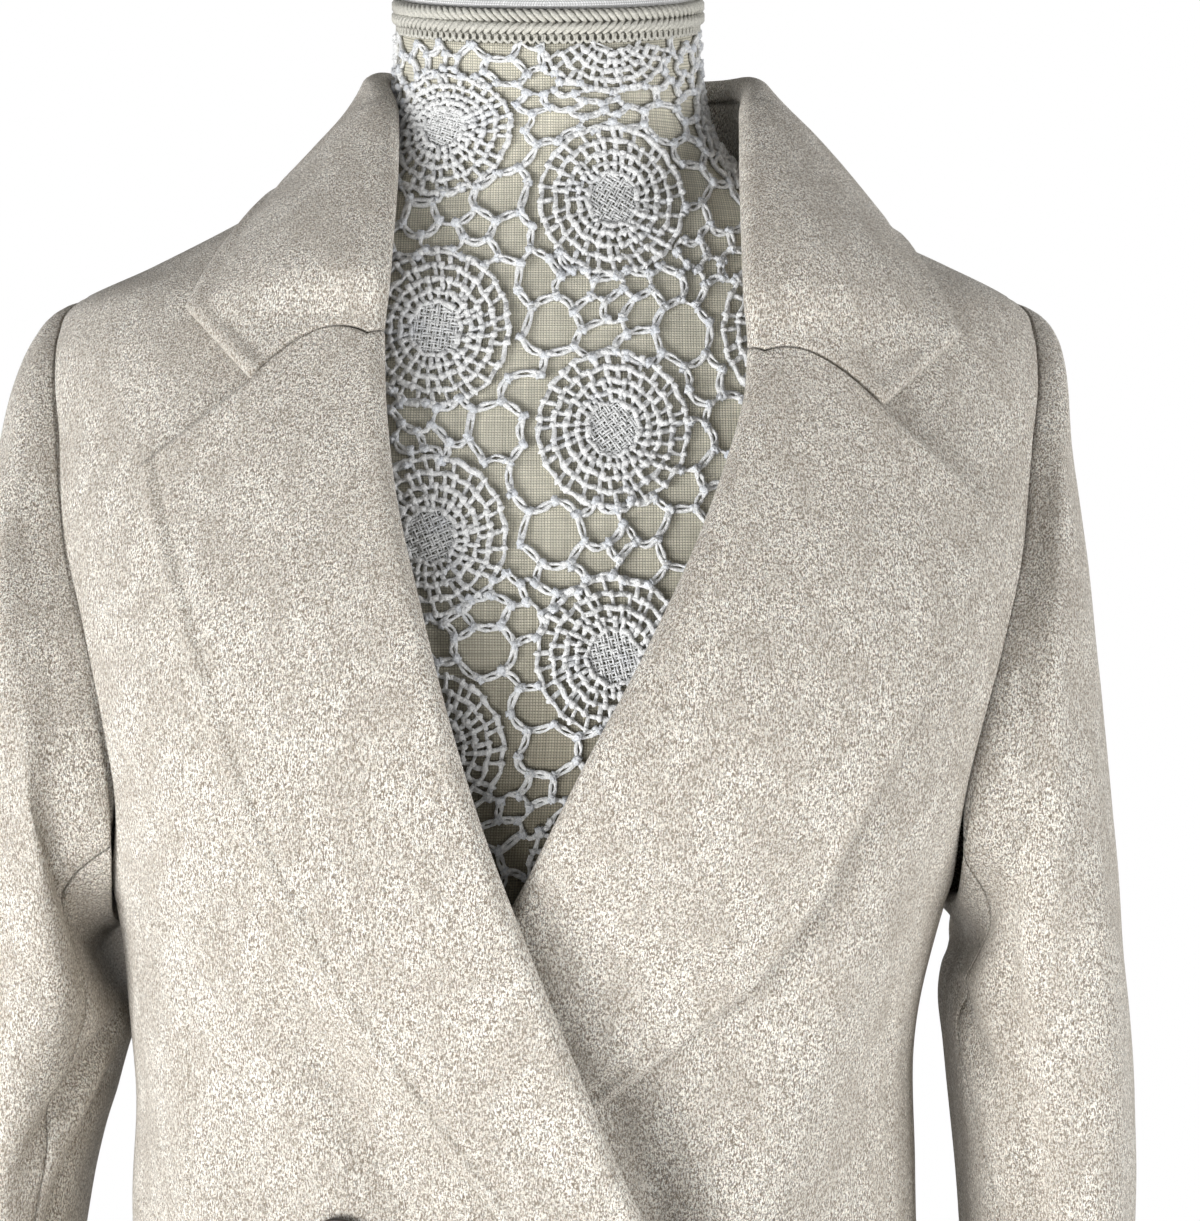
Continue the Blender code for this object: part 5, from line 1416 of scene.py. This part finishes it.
def thread(parts, lines, radius, height, rng):
    """Adds threads to a piece: lumpy in thickness and height, and only where they show.

    `radius` and `height` hold one number, or one a point.
    """
    seen = in_view(lines)
    if not seen.any():
        return
    radius, height = (np.broadcast_to(part, lines.shape[:2])[seen] for part in (radius, height))
    lines = lines[seen]
    lines[..., 1] = np.minimum(lines[..., 1], FORM_NECK[-1][0])
    thick = radius * rng.uniform(0.66, 1.34, lines.shape[:2])
    level = height + 0.75 * thick + rng.uniform(0.0, 0.0005, lines.shape[:2])
    parts.append(rods(lines, level, thick, FORM_SURFACE))


def rounds_of(centre, number):
    """One motif's generator and its own turn, so that rounds, links and knots agree."""
    rng = np.random.default_rng(LACE_SEED + number)
    return rng, rng.uniform(0, math.pi), np.array(centre)


def at_turn(centre, radius, turn):
    """Points at a radius and a turn about a motif's middle, squeezed a little sideways."""
    return centre + np.stack([0.96 * radius * np.cos(turn), 1.02 * radius * np.sin(turn)], -1)


def lace_rounds():
    """Rings joined by spokes with a lump where they cross, round a middle of threads that
    cross over and under. A ring is a circle with a small wave, in short arcs."""
    size = bpy.context.scene.form_settings.lace_thread
    (ring_thick, ring_height), (spoke_thick, spoke_height), (lump_thick, lump_height), (
        weave_thick, weave_height) = RING_THREAD, SPOKE_THREAD, LUMP_THREAD, WEAVE_THREAD
    parts = []
    for number, centre in enumerate(MOTIFS):
        rng, first, centre = rounds_of(centre, number)
        for ring, radius in enumerate(MOTIF_RINGS):
            steps = 3 + ring // 2
            turn = (np.arange(RING_ARCS)[:, None] + np.linspace(0, 1.02, steps + 1)) * (
                2 * math.pi / RING_ARCS)
            wave = radius + RING_WAVE * np.sin(turn * (9 + 2 * ring) + first)
            wave = wave + rng.uniform(-0.5, 0.5, (RING_ARCS, 1)) * RING_WAVE
            thread(parts, at_turn(centre, wave, turn + first), size * ring_thick, ring_height, rng)
        for ring, count in enumerate(MOTIF_SPOKES):
            middle = (np.arange(count) + 0.5 * (ring % 2)) * 2 * math.pi / count
            middle = middle + rng.uniform(-0.07, 0.07, count)
            reach = np.array([MOTIF_RINGS[ring], np.mean(MOTIF_RINGS[ring:ring + 2]),
                              MOTIF_RINGS[ring + 1]])
            turn = middle[:, None] + np.array([-0.02, 0.0, 0.02])
            spokes = at_turn(centre, reach, turn + first)
            thread(parts, spokes, size * spoke_thick, spoke_height, rng)
            along = np.linspace(-1, 1, 4)
            lumps = at_turn(centre, MOTIF_RINGS[ring + 1] + along * LUMP_REACH,
                            middle[:, None] + 0.02 + first)
            thread(parts, lumps, size * lump_thick * np.sqrt(1.05 - along ** 2), lump_height, rng)
        across = np.repeat(np.arange(-3, 4) * WEAVE_PITCH, 2) + np.tile([-0.0005, 0.0005], 7)
        run = np.sqrt(MOTIF_RINGS[0] ** 2 - across ** 2)[:, None] * np.linspace(-1, 1, 13)
        for over, lie in ((1, first), (-1, first + math.pi / 2)):
            way, side = (np.array([math.cos(lie + part), math.sin(lie + part)])
                         for part in (0, math.pi / 2))
            lines = centre + run[..., None] * way + across[:, None, None] * side
            wave = np.cos(run * math.pi / WEAVE_PITCH + across[:, None] * 1200)
            weave = weave_height + WEAVE_RISE * over * wave
            thread(parts, lines, size * weave_thick, weave, rng)
    return parts


def net_seeds():
    """Middles of the net's cells, and those of its large oval gaps.

    Each motif gives one seed inside every seed round its rim, each oval gap one in
    its middle, and scattered seeds fill what is left, no closer than NET_PITCH.
    """
    rng = np.random.default_rng(LACE_SEED + 100)
    motifs = np.array(MOTIFS)
    gaps = np.concatenate([motifs + [side * OVAL_REACH, 0.0] for side in (-1, 1)])
    gaps = gaps + rng.uniform(-0.0025, 0.0025, gaps.shape)
    gaps = gaps[[not (np.hypot(*(gaps[:number] - gap).T) < 0.02).any()
                 for number, gap in enumerate(gaps)]]

    def clear(spots, others, reach):
        away = np.linalg.norm(spots[:, None] - others[None], axis=2)
        return spots[away.min(1) > reach]
    inner, outer = [], []
    for number, centre in enumerate(MOTIFS):
        turn = np.arange(KNOTS) * 2 * math.pi / KNOTS + number
        inner.append(at_turn(np.array(centre), 0.0275, turn))
        outer.append(at_turn(np.array(centre), KNOT_RADIUS - 0.002, turn))
    inner = np.concatenate(inner)
    outer = clear(np.concatenate(outer), gaps, 0.0150)
    loose = rng.uniform(*NET_FIELD, (16000, 2))
    loose = clear(clear(clear(loose, motifs, KNOT_RADIUS), gaps, 0.0165), outer, NET_PITCH)
    kept = np.zeros((0, 2))
    for spot in loose:
        if not len(kept) or np.hypot(*(kept - spot).T).min() > NET_PITCH:
            kept = np.concatenate([kept, spot[None]])
    return np.concatenate([inner, outer, gaps, kept])


def net_of_lace():
    """Joints of the net and the pairs of joints that a thread links.

    The joints are the middles of the triangles between neighbouring seeds, and a
    thread runs from each triangle to the ones beside it, outside the motifs.
    """
    seeds = net_seeds()
    faces = delaunay_2d_cdt([Vector(seed) for seed in seeds], [], [], 0, 1e-6)[2]
    joints = seeds[np.array(faces)].mean(1)
    beside = {}
    for number, face in enumerate(faces):
        for one, other in zip(face, face[1:] + face[:1]):
            beside.setdefault((min(one, other), max(one, other)), []).append(number)
    pairs = np.array([pair for pair in beside.values() if len(pair) == 2])
    away = np.linalg.norm(joints[:, None] - np.array(MOTIFS)[None], axis=2).min(1)
    rim = MOTIF_RINGS[-1] * 0.97
    pairs = pairs[(away[pairs[:, 0]] > rim) & (away[pairs[:, 1]] > rim)]
    return joints[away > rim], joints[pairs]


def lace_links():
    """Threads of the net: thick at the joints, thin half way, and double where long."""
    size = bpy.context.scene.form_settings.lace_thread
    thick, height = LINK_THREAD
    rng = np.random.default_rng(LACE_SEED + 200)
    parts = []
    ends = net_of_lace()[1]
    run = ends[:, 1] - ends[:, 0]
    length = np.linalg.norm(run, axis=1)
    across = unit(np.stack([-run[:, 1], run[:, 0]], -1))[:, None]
    step = np.linspace(0, 1, 6)[None, :, None]
    bow = rng.normal(0, LINK_BOW, (len(run), 1, 1)) * np.sin(math.pi * step)
    lines = ends[:, :1] * (1 - step) + ends[:, 1:] * step + across * bow
    swell = size * (thick + LINK_SWELL * (2 * step[..., 0] - 1) ** 2)
    long = length > DOUBLE_FROM
    thread(parts, lines[~long], swell[0], height, rng)
    for shift in (-DOUBLE_APART, DOUBLE_APART):
        beside = lines + across * shift * np.sin(math.pi * step)
        thread(parts, beside[long], 0.9 * swell[0], height, rng)
    return parts


def lace_knots():
    """Small lumps of two short thick loops where the threads of the net meet."""
    size = bpy.context.scene.form_settings.lace_thread
    thick, height = KNOT_THREAD
    rng = np.random.default_rng(LACE_SEED + 300)
    parts = []
    joints = net_of_lace()[0]
    for _ in range(2):
        lie = rng.uniform(0, math.pi, len(joints))
        way = np.stack([np.cos(lie), np.sin(lie)], -1)[:, None]
        run = np.linspace(-KNOT_REACH, KNOT_REACH, 4)[None, :, None]
        spot = joints + rng.uniform(-0.0006, 0.0006, joints.shape)
        thread(parts, spot[:, None] + way * run, size * thick, height, rng)
    return parts


def neck_trim():
    """Cord trim: two rows of slanting plies that meet like a herring bone, over a row of
    small hanging loops, all round the neck's rim."""
    low = FORM_NECK[-1][0] + SEAM
    heights = np.array([low - 0.006, low, low + BRAID_HEIGHT + 0.001])
    rings = np.array([neck_ring(TRIM_OUTSET, z, FORM_SIDES) for z in heights])
    band = chart(rings, heights)
    length = np.linalg.norm(np.diff(rings[1], axis=0), axis=1).sum()
    count = int(length / TRIM_PITCH)
    start = np.arange(count) * length / count
    rng = np.random.default_rng(LACE_SEED)
    step = np.linspace(0, 1, 6)
    parts = []
    arch = np.sin(math.pi * step)
    for rise in TRIM_RISES:
        lines = np.stack([start[:, None] + TRIM_LEAN * step, low + TRIM_SPINE
                          + rise * (1 - step) + 0 * start[:, None]], -1)
        swell = TRIM_PLY * (0.55 + 0.45 * arch) * rng.uniform(0.92, 1.08, (count, 1))
        parts.append(rods(lines, 0.0011 + 0.0012 * arch + 0 * swell, swell, band))
    turn = np.linspace(-0.25 * math.pi, 1.25 * math.pi, 8)
    lines = np.stack([start[:, None] + LOOP_WIDTH * np.cos(turn),
                      low + 0.0016 - LOOP_HEIGHT * np.sin(turn) + 0 * start[:, None]], -1)
    even = 0 * lines[..., 0]
    parts.append(rods(lines, 0.0010 + even, LOOP_THREAD + even, band))
    inner = np.array([neck_ring(grow, z, FORM_SIDES) for grow, z in
                      ((-TRIM_INSET, low), (0.0, low), (0.0, low + BRAID_HEIGHT),
                       (-TRIM_INSET, low + BRAID_HEIGHT))])
    index = np.arange(4 * FORM_SIDES).reshape(4, FORM_SIDES)
    ring = np.concatenate([index, index[:1]])
    turned = np.roll(ring, -1, axis=1)
    core = np.stack([ring[:-1], turned[:-1], turned[1:], ring[1:]], -1).reshape(-1, 4)
    parts.append((inner.reshape(-1, 3), core, np.zeros((len(core), 4, 2))))
    return parts


def button_body():
    """Turned button about its own axis: a rim round a dished middle with four wells."""
    radius, thick, rim = BUTTON_RADIUS, BUTTON_THICK, BUTTON_RIM
    profile = [(radius * 0.50, 0.0), (radius * 0.90, 0.0004), (radius * 0.985, thick * 0.40)]
    profile += rounded(radius - rim, thick - rim, rim, np.linspace(0, math.pi, CORNER_POINTS))
    profile += [(radius * 0.76, thick - 0.0019), (radius * 0.70, thick - BUTTON_DISH)]
    profile += [(radius * share, thick - BUTTON_DISH) for share in np.linspace(0.64, 0.04, 22)]
    points = turned_rings(profile, BUTTON_SIDES)
    for x, y in BUTTON_HOLES:
        away = np.hypot(points[..., 0] - x, points[..., 1] - y)
        well = WELL_DEPTH * np.exp(-(away / WELL_RADIUS) ** 4)
        points[..., 2] -= well * (points[..., 2] > thick * 0.4)
    quads = ring_quads(*points.shape[:2])
    points = points.reshape(-1, 3)
    return points, quads, points[quads][..., :2]


def button_stitches():
    """Two pairs of threads across the button's middle, from hole to hole."""
    level = BUTTON_THICK - BUTTON_DISH
    step = np.linspace(-1, 1, 7)
    lines = np.array([np.stack([x + shift + 0 * step, BUTTON_HOLE * step], -1)
                      for x in (BUTTON_HOLE, -BUTTON_HOLE)
                      for shift in (-STITCH_APART, STITCH_APART)])

    def flat(x, y):
        return np.stack([x, y, level + 0 * x], -1), np.broadcast_to([0.0, 0.0, 1.0], (*x.shape, 3))
    even = 0 * lines[..., 0]
    return rods(lines, 0.0003 - 0.0008 * np.abs(step) ** 6 + even, STITCH_THREAD + even, flat)


def soft_light(name, place, size, power):
    """Square area light turned towards the coat's chest."""
    data = bpy.data.lights.new(name, "AREA")
    data.size, data.energy = size, power
    light = bpy.data.objects.new(name, data)
    light.location = place
    aim = np.array(LIGHTS_AIM) - np.array(place)
    light.rotation_euler = (math.acos(-aim[2] / np.linalg.norm(aim)), 0.0,
                            math.atan2(-aim[0], aim[1]))
    bpy.context.collection.objects.link(light)


def white_room(scene, strength):
    """White all round, brighter to look at than it shines on the coat."""
    world = bpy.data.worlds.new("white_room")
    world.use_nodes = True
    tree = world.node_tree
    tree.nodes.clear()
    seen, shines, both, direct, output = (tree.nodes.new(kind) for kind in (
        "ShaderNodeBackground", "ShaderNodeBackground", "ShaderNodeMixShader",
        "ShaderNodeLightPath", "ShaderNodeOutputWorld"))
    seen.inputs["Strength"].default_value = 1.0
    shines.inputs["Strength"].default_value = strength
    for background in (seen, shines):
        background.inputs["Color"].default_value = (1.0, 1.0, 1.0, 1.0)
    tree.links.new(direct.outputs["Is Camera Ray"], both.inputs[0])
    tree.links.new(shines.outputs[0], both.inputs[1])
    tree.links.new(seen.outputs[0], both.inputs[2])
    tree.links.new(both.outputs[0], output.inputs["Surface"])
    scene.world = world
    scene.view_settings.view_transform = "Standard"


# ---- small relief ----
def soft_lumps(points, seed, wave, height):
    """Uneven lie of the cloth: a height times the mean of sine waves that run in ways set
    by the seed. `wave` is the length of the shortest that may come."""
    count, longest, gain = WAVES
    rng = np.random.default_rng(seed)
    heading = unit(rng.normal(0, 1, (count, 3)))
    length = wave * rng.uniform(1.0, longest, count)
    start = rng.uniform(0, 2 * math.pi, count)
    return height * np.sin(2 * math.pi * points @ heading.T / length + start).mean(-1) * gain


def pressed_seam(points, line):
    """Pressed seam: a narrow trough round a straight line that fades at both ends."""
    return ridge(points[..., 0], points[..., 2], line, DART_WIDTH, -DART_DEPTH, SEAM_FADE)


def clustered(columns, middle):
    """Shares from 0 to 1 that crowd round a share in the middle."""
    crowd, spread = DART_CROWDING
    even = np.linspace(0, 1, 4001)
    dense = 1 + crowd * np.exp(-((even - middle) / spread) ** 2)
    run = np.concatenate([[0], np.cumsum((dense[1:] + dense[:-1]) / 2)])
    return np.interp(np.linspace(0, 1, columns + 1), run / run[-1], even)


def turned_up(middle, out, distance):
    """Cloth near a hem made thicker on its inner side, for the part turned up."""
    extra = TURN_UP_THICK * (1 - ramp(distance, TURN_UP - TURN_UP_STEP, TURN_UP))
    return middle - out * extra[..., None] / 2, CLOTH + extra


def dart_shares(side, rows):
    """Share of each row of a front at which its dart lies; straight on above the dart."""
    top_x, top_z, foot_x, foot_z = FRONT_DARTS[side]
    share = np.linspace(0, 1, 61)
    coarse = front_grid(side, rows, share)[0][..., 0]
    x = top_x + (foot_x - top_x) * np.clip((top_z - rows) / (top_z - foot_z), 0, 1)
    at = np.array([np.interp(side * x_dart, side * line[::-1], share[::-1])
                   for x_dart, line in zip(x, coarse)])
    low = rows < DART_TOP_Z
    return np.interp(rows, rows[low], at[low])


# ---- operators ----
def dressed(node, middle, thick, out=None, free=(1.0, 1.0, 1.0, 1.0)):
    """Cloth shell that stands for a solid, with the size it was cut to."""
    piece = shell("cloth_" + node, middle, thick, wool_of_coat(), out, free)
    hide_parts(node)
    return piece


def wool_of_coat():
    return bpy.data.materials.get("wool_nap") or wool()


class CoatSettings(bpy.types.PropertyGroup):
    """Sizes and colours of the coat's cloth and buttons."""

    wool_light: bpy.props.FloatVectorProperty(
        name="Wool, pale fibres", description="Colour of the pale ground of the melange",
        subtype="COLOR", size=3, min=0.0, max=1.0, default=(0.95, 0.89, 0.80))
    wool_dark: bpy.props.FloatVectorProperty(
        name="Wool, dark fibres", description="Colour of the taupe fibres of the melange",
        subtype="COLOR", size=3, min=0.0, max=1.0, default=(0.245, 0.203, 0.156))
    fleck_size: bpy.props.FloatProperty(
        name="Fleck size", description="Width of one fleck of the melange",
        subtype="DISTANCE", unit="LENGTH", default=0.0009, min=0.0004, max=0.005)
    nap_depth: bpy.props.FloatProperty(
        name="Nap depth", description="Height of the brushed nap",
        subtype="DISTANCE", unit="LENGTH", default=0.0005, min=0.0, max=0.004)
    lie: bpy.props.FloatProperty(
        name="Uneven lie", description="Rise of the soft lumps in the hanging cloth",
        subtype="DISTANCE", unit="LENGTH", default=0.0009, min=0.0, max=0.004)
    button_colour: bpy.props.FloatVectorProperty(
        name="Buttons", description="Colour of the horn buttons",
        subtype="COLOR", size=3, min=0.0, max=1.0, default=(0.030, 0.026, 0.024))


class FormSettings(bpy.types.PropertyGroup):
    """Sizes and colours of the dress form, its lace and its stand."""

    linen_pitch: bpy.props.FloatProperty(
        name="Linen pitch", description="Distance from thread to thread in the linen",
        subtype="DISTANCE", unit="LENGTH", default=0.0011, min=0.0004, max=0.004)
    linen_colour: bpy.props.FloatVectorProperty(
        name="Linen", description="Colour of the linen cover",
        subtype="COLOR", size=3, min=0.0, max=1.0, default=(0.76, 0.725, 0.60))
    lace_colour: bpy.props.FloatVectorProperty(
        name="Lace", description="Colour of the crochet cotton",
        subtype="COLOR", size=3, min=0.0, max=1.0, default=(0.97, 0.975, 0.97))
    lace_thread: bpy.props.FloatProperty(
        name="Lace thread", description="Half thickness of the crocheted thread",
        subtype="DISTANCE", unit="LENGTH", default=0.00112, min=0.0003, max=0.002)
    trim_colour: bpy.props.FloatVectorProperty(
        name="Neck trim", description="Colour of the cord trim round the neck's top",
        subtype="COLOR", size=3, min=0.0, max=1.0, default=(0.66, 0.645, 0.58))
    foot_colour: bpy.props.FloatVectorProperty(
        name="Foot", description="Colour of the painted foot",
        subtype="COLOR", size=3, min=0.0, max=1.0, default=(0.70, 0.69, 0.66))


class StageSettings(bpy.types.PropertyGroup):
    """Floor and lights of the plain studio."""

    floor_colour: bpy.props.FloatVectorProperty(
        name="Floor", description="Colour of the plain floor",
        subtype="COLOR", size=3, min=0.0, max=1.0, default=(0.86, 0.86, 0.85))
    key_power: bpy.props.FloatProperty(
        name="Key light", description="Power of the large low light in front of the right hip",
        unit="POWER", default=72.0, min=0.0)
    side_power: bpy.props.FloatProperty(
        name="Side light", description="Power of the light beside the left sleeve",
        unit="POWER", default=44.0, min=0.0)
    back_power: bpy.props.FloatProperty(
        name="Back light", description="Power of the light behind the coat",
        unit="POWER", default=30.0, min=0.0)
    low_power: bpy.props.FloatProperty(
        name="Low light", description="Power of the light near the floor in front",
        unit="POWER", default=22.0, min=0.0)
    sky: bpy.props.FloatProperty(
        name="Room light", description="Brightness of the white room on the object",
        default=0.21, min=0.0)


class COAT_OT_back(bpy.types.Operator):
    """Make the coat's back with its middle seam and its turned-up hem"""

    bl_idname = "coat.back"
    bl_label = "Back"

    def execute(self, context):
        rows = panel_rows(*BODY_CELLS)
        middle, out = back_grid(rows, clustered(BACK_COLUMNS, 0.5))
        from_hem = middle[..., 2] - HEM_Z
        rise = soft_lumps(middle, 3, BODY_WAVE, context.scene.coat_settings.lie)
        rise = pressed_seam(middle, BACK_SEAM) + rise
        middle, thick = turned_up(middle + out * rise[..., None], out, from_hem)
        dressed("back", middle, thick, out, (1.0, SEWN, SEWN, SEWN))
        return {"FINISHED"}


class COAT_OT_fronts(bpy.types.Operator):
    """Make the two fronts with their darts and turned-up hems"""

    bl_idname = "coat.fronts"
    bl_label = "Fronts"

    def execute(self, context):
        rows = panel_rows(*BODY_CELLS)
        for side, hand in ((-1, "right"), (1, "left")):
            share = np.stack([clustered(FRONT_COLUMNS, at) for at in dart_shares(side, rows)])
            middle, out = front_grid(side, rows, share)
            from_hem = middle[..., 2] - HEM_Z
            rise = soft_lumps(middle, 5 + side, BODY_WAVE, context.scene.coat_settings.lie)
            rise = pressed_seam(middle, FRONT_DARTS[side]) + rise
            middle, thick = turned_up(middle + out * rise[..., None], out, from_hem)
            dressed("front_" + hand, middle, thick, out,
                    (1.0, SEWN, SEWN, 1.0))
        return {"FINISHED"}


class COAT_OT_lapels(bpy.types.Operator):
    """Make the two lapels, rolled out of the fronts"""

    bl_idname = "coat.lapels"
    bl_label = "Lapels"

    def execute(self, context):
        for side, hand in ((-1, "right"), (1, "left")):
            grid = lapel_grid(side, LAPEL_ROWS, LAPEL_CELLS)
            gorge = np.where(np.arange(grid.shape[1]) > sum(LAPEL_CELLS[:3]), 1.0, SEWN)
            dressed("lapel_" + hand, grid, folded_thickness(grid),
                    free=(gorge, 1.0, 1.0, 1.0))
        return {"FINISHED"}


class COAT_OT_collar(bpy.types.Operator):
    """Make the collar with its stand and its fall in one"""

    bl_idname = "coat.collar"
    bl_label = "Collar"

    def execute(self, context):
        grid = collar_grid(*COLLAR_STEPS, LAPEL_CELLS[:3])
        dressed("collar", grid, folded_thickness(grid),
                free=(SEWN, SEWN, 1.0, 1.0))
        return {"FINISHED"}


class COAT_OT_sleeves(bpy.types.Operator):
    """Make the two-piece sleeves with their drag folds and turned-up cuffs"""

    bl_idname = "coat.sleeves"
    bl_label = "Sleeves"

    def execute(self, context):
        last = float(len(SLEEVE_RIGHT) - 1)
        start = np.linspace(0, 1, CAP_ROWS + 1)[:-1]
        rows = np.concatenate([start, np.linspace(1, last, SLEEVE_ROWS + 1 - CAP_ROWS)])
        lie = context.scene.coat_settings.lie
        for side, hand in ((-1, "right"), (1, "left")):
            for part in ("top", "under"):
                middle, out = sleeve_grid(side, rows, SLEEVE_COLUMNS[part], part == "top")
                down = laid_out(middle)[..., 1]
                calm = ramp(rows, *SLEEVE_CALM)[:, None]
                rise = calm * soft_lumps(middle, 11 + side, SLEEVE_WAVE, lie)
                middle, thick = turned_up(middle + out * rise[..., None], out, down[-1:] - down)
                dressed("sleeve_%s_%s" % (part, hand), middle, thick,
                        out, (SEWN, 1.0, SEWN, SEWN))
        return {"FINISHED"}


class COAT_OT_buttons(bpy.types.Operator):
    """Make the four buttons, each dished, with four holes and its sewing thread"""

    bl_idname = "coat.buttons"
    bl_label = "Buttons"

    def execute(self, context):
        polish, thread = horn(), cord_cotton("button_thread")
        for name, x, z, side in BUTTONS:
            theta = front_theta(np.array(x), np.array(z))
            out = skin_out(theta, np.array(z))
            turn = np.linspace(0, 2 * math.pi, 8, endpoint=False)
            reach = np.array([[0.0], [0.6 * BUTTON_RADIUS]])
            near = front_level(x + reach * np.sin(turn), z + reach * np.cos(turn), side)
            at = skin(theta, np.array(z)) + out * (near.max() + SEAM)
            across = unit(np.cross([0.0, 0.0, 1.0], out))
            axes = np.stack([across, np.cross(out, across), out])
            points, quads, corners = button_body()
            piece = fill_mesh("horn_" + name, at + points @ axes, quads, corners, polish)
            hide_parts(name)
            points, quads, corners = button_stitches()
            sewn = fill_mesh("thread_" + name, at + points @ axes, quads, corners, thread)
        return {"FINISHED"}


class COAT_OT_form(bpy.types.Operator):
    """Make the form's linen cover, neck trim and cap"""

    bl_idname = "coat.form"
    bl_label = "Dress form"

    def execute(self, context):
        cloth, cord = linen(), cord_cotton()
        cover = closed_rings("form_cover", form_rings(FORM_SIDES), cloth)
        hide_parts("form_torso")
        trim = joined("form_trim", neck_trim(), cord)
        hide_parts("form_braid")
        base = FORM_NECK[-1][0] + 2 * SEAM + BRAID_HEIGHT
        turn = np.linspace(0, math.pi / 2, CORNER_POINTS)
        edge = [(-0.0010, base), *rounded(-0.0060, base + 0.0015, 0.0065, turn, 0.0070),
                (-0.0300, base + CAP_HEIGHT)]
        white = linen("bleached_linen", (1.45, 1.50, 1.75))
        top = closed_rings("form_top", np.array([neck_ring(grow, z, FORM_SIDES)
                                                 for grow, z in edge]), white)
        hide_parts("form_cap")
        return {"FINISHED"}


class COAT_OT_lace(bpy.types.Operator):
    """Make the crochet lace that covers the form's neck and chest"""

    bl_idname = "coat.lace"
    bl_label = "Lace"

    def execute(self, context):
        cotton = crochet()
        # painted shade: the knots get a darker, bluer copy of the cotton, for the shadows where
        # the lace's threads meet
        painted_shade_cotton = crochet("crochet_shade", tint=(0.88, 0.90, 0.94))
        for name, parts, material in (("lace_rounds", lace_rounds(), cotton),
                                      ("lace_links", lace_links(), cotton),
                                      ("lace_knots", lace_knots(), painted_shade_cotton)):
            piece = joined(name, parts, material)
        return {"FINISHED"}


class COAT_OT_stand(bpy.types.Operator):
    """Make the satin pole and the painted foot"""

    bl_idname = "coat.stand"
    bl_label = "Stand"

    def execute(self, context):
        pole = [(POLE_RADIUS, SOCKET_TOP_Z + SEAM), (POLE_RADIUS, FORM_BOTTOM_Z - SEAM)]
        piece = closed_rings("steel_pole", turned_rings(pole, 64), satin_steel())
        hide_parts("stand_pole")
        turn = np.linspace(0, math.pi / 2, CORNER_POINTS)
        foot = [(FOOT_RADIUS - FOOT_CHAMFER, 0.0), (FOOT_RADIUS, FOOT_CHAMFER),
                (FOOT_RADIUS, FOOT_HEIGHT - FOOT_ROUND)]
        foot += rounded(FOOT_RADIUS - FOOT_ROUND, FOOT_HEIGHT - FOOT_ROUND, FOOT_ROUND, turn[1:])
        foot += [(2.2 * SOCKET_RADIUS, FOOT_HEIGHT + 0.003)]
        foot += [(SOCKET_RADIUS + SOCKET_FILLET - SOCKET_FILLET * math.sin(part),
                  FOOT_HEIGHT + 0.020 - SOCKET_FILLET * math.cos(part)) for part in turn]
        foot += rounded(SOCKET_RADIUS - SOCKET_ROUND, SOCKET_TOP_Z - SOCKET_ROUND, SOCKET_ROUND,
                        turn)
        foot += [(POLE_RADIUS + POLE_PLAY, SOCKET_TOP_Z),
                 (POLE_RADIUS + POLE_PLAY, SOCKET_TOP_Z - 0.004)]
        piece = closed_rings("painted_foot", turned_rings(foot, 128), enamel())
        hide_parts("stand_foot")
        return {"FINISHED"}


class COAT_OT_stage(bpy.types.Operator):
    """Make the floor, the lights and the camera at the picture's viewing angle"""

    bl_idname = "coat.stage"
    bl_label = "Studio"

    def execute(self, context):
        settings = context.scene.stage_settings
        paint = Paint("studio_floor", roughness=0.7)
        pale = np.array(settings.floor_colour[:])
        paint.colour(paint.mix(paint.noise(3.0, 3.0), 0.97 * pale, pale))
        mesh = bpy.data.meshes.new("studio_floor")
        edge = turned_rings([(FLOOR_RADIUS, 0.0)], FLOOR_SIDES)[0]
        mesh.from_pydata(edge.tolist(), [], [list(range(FLOOR_SIDES))])
        mesh.materials.append(paint.material)
        floor = bpy.data.objects.new("studio_floor", mesh)
        context.collection.objects.link(floor)
        white_room(context.scene, settings.sky)
        for name, place, size, power in LIGHTS:
            soft_light(name, place, size, getattr(settings, power))
        data = bpy.data.cameras.new("camera")
        data.sensor_width = SENSOR
        data.lens = SENSOR * FOCAL_PIXELS / max(PICTURE_SIZE)
        camera = bpy.data.objects.new("camera", data)
        camera.location = CAMERA_AT
        camera.rotation_euler = (math.pi / 2, 0.0, 0.0)
        context.collection.objects.link(camera)
        context.scene.camera = camera
        return {"FINISHED"}


class COAT_PT_panel(bpy.types.Panel):
    """Coat, form and studio, piece by piece"""

    bl_idname = "COAT_PT_panel"
    bl_label = "Long coat on a dress form"
    bl_space_type = "VIEW_3D"
    bl_region_type = "UI"
    bl_category = "Coat"

    def draw(self, context):
        scene = context.scene
        for settings in (scene.coat_settings, scene.form_settings, scene.stage_settings):
            for key in settings.__annotations__:
                self.layout.prop(settings, key)
        for operator in OPERATORS:
            self.layout.operator(operator.bl_idname)


OPERATORS = [COAT_OT_back, COAT_OT_fronts, COAT_OT_lapels, COAT_OT_collar, COAT_OT_sleeves,
             COAT_OT_buttons, COAT_OT_form, COAT_OT_lace, COAT_OT_stand, COAT_OT_stage]
SETTINGS = {"coat_settings": CoatSettings, "form_settings": FormSettings,
            "stage_settings": StageSettings}


def register():
    for kind in [*SETTINGS.values(), *OPERATORS, COAT_PT_panel]:
        bpy.utils.register_class(kind)
    for key, kind in SETTINGS.items():
        setattr(bpy.types.Scene, key, bpy.props.PointerProperty(type=kind))


def unregister():
    for key in SETTINGS:
        delattr(bpy.types.Scene, key)
    for kind in reversed([*SETTINGS.values(), *OPERATORS, COAT_PT_panel]):
        bpy.utils.unregister_class(kind)


def main():
    register()
    for operator in OPERATORS:
        family, action = operator.bl_idname.split(".")
        getattr(getattr(bpy.ops, family), action)()


if __name__ == "__main__":
    main()
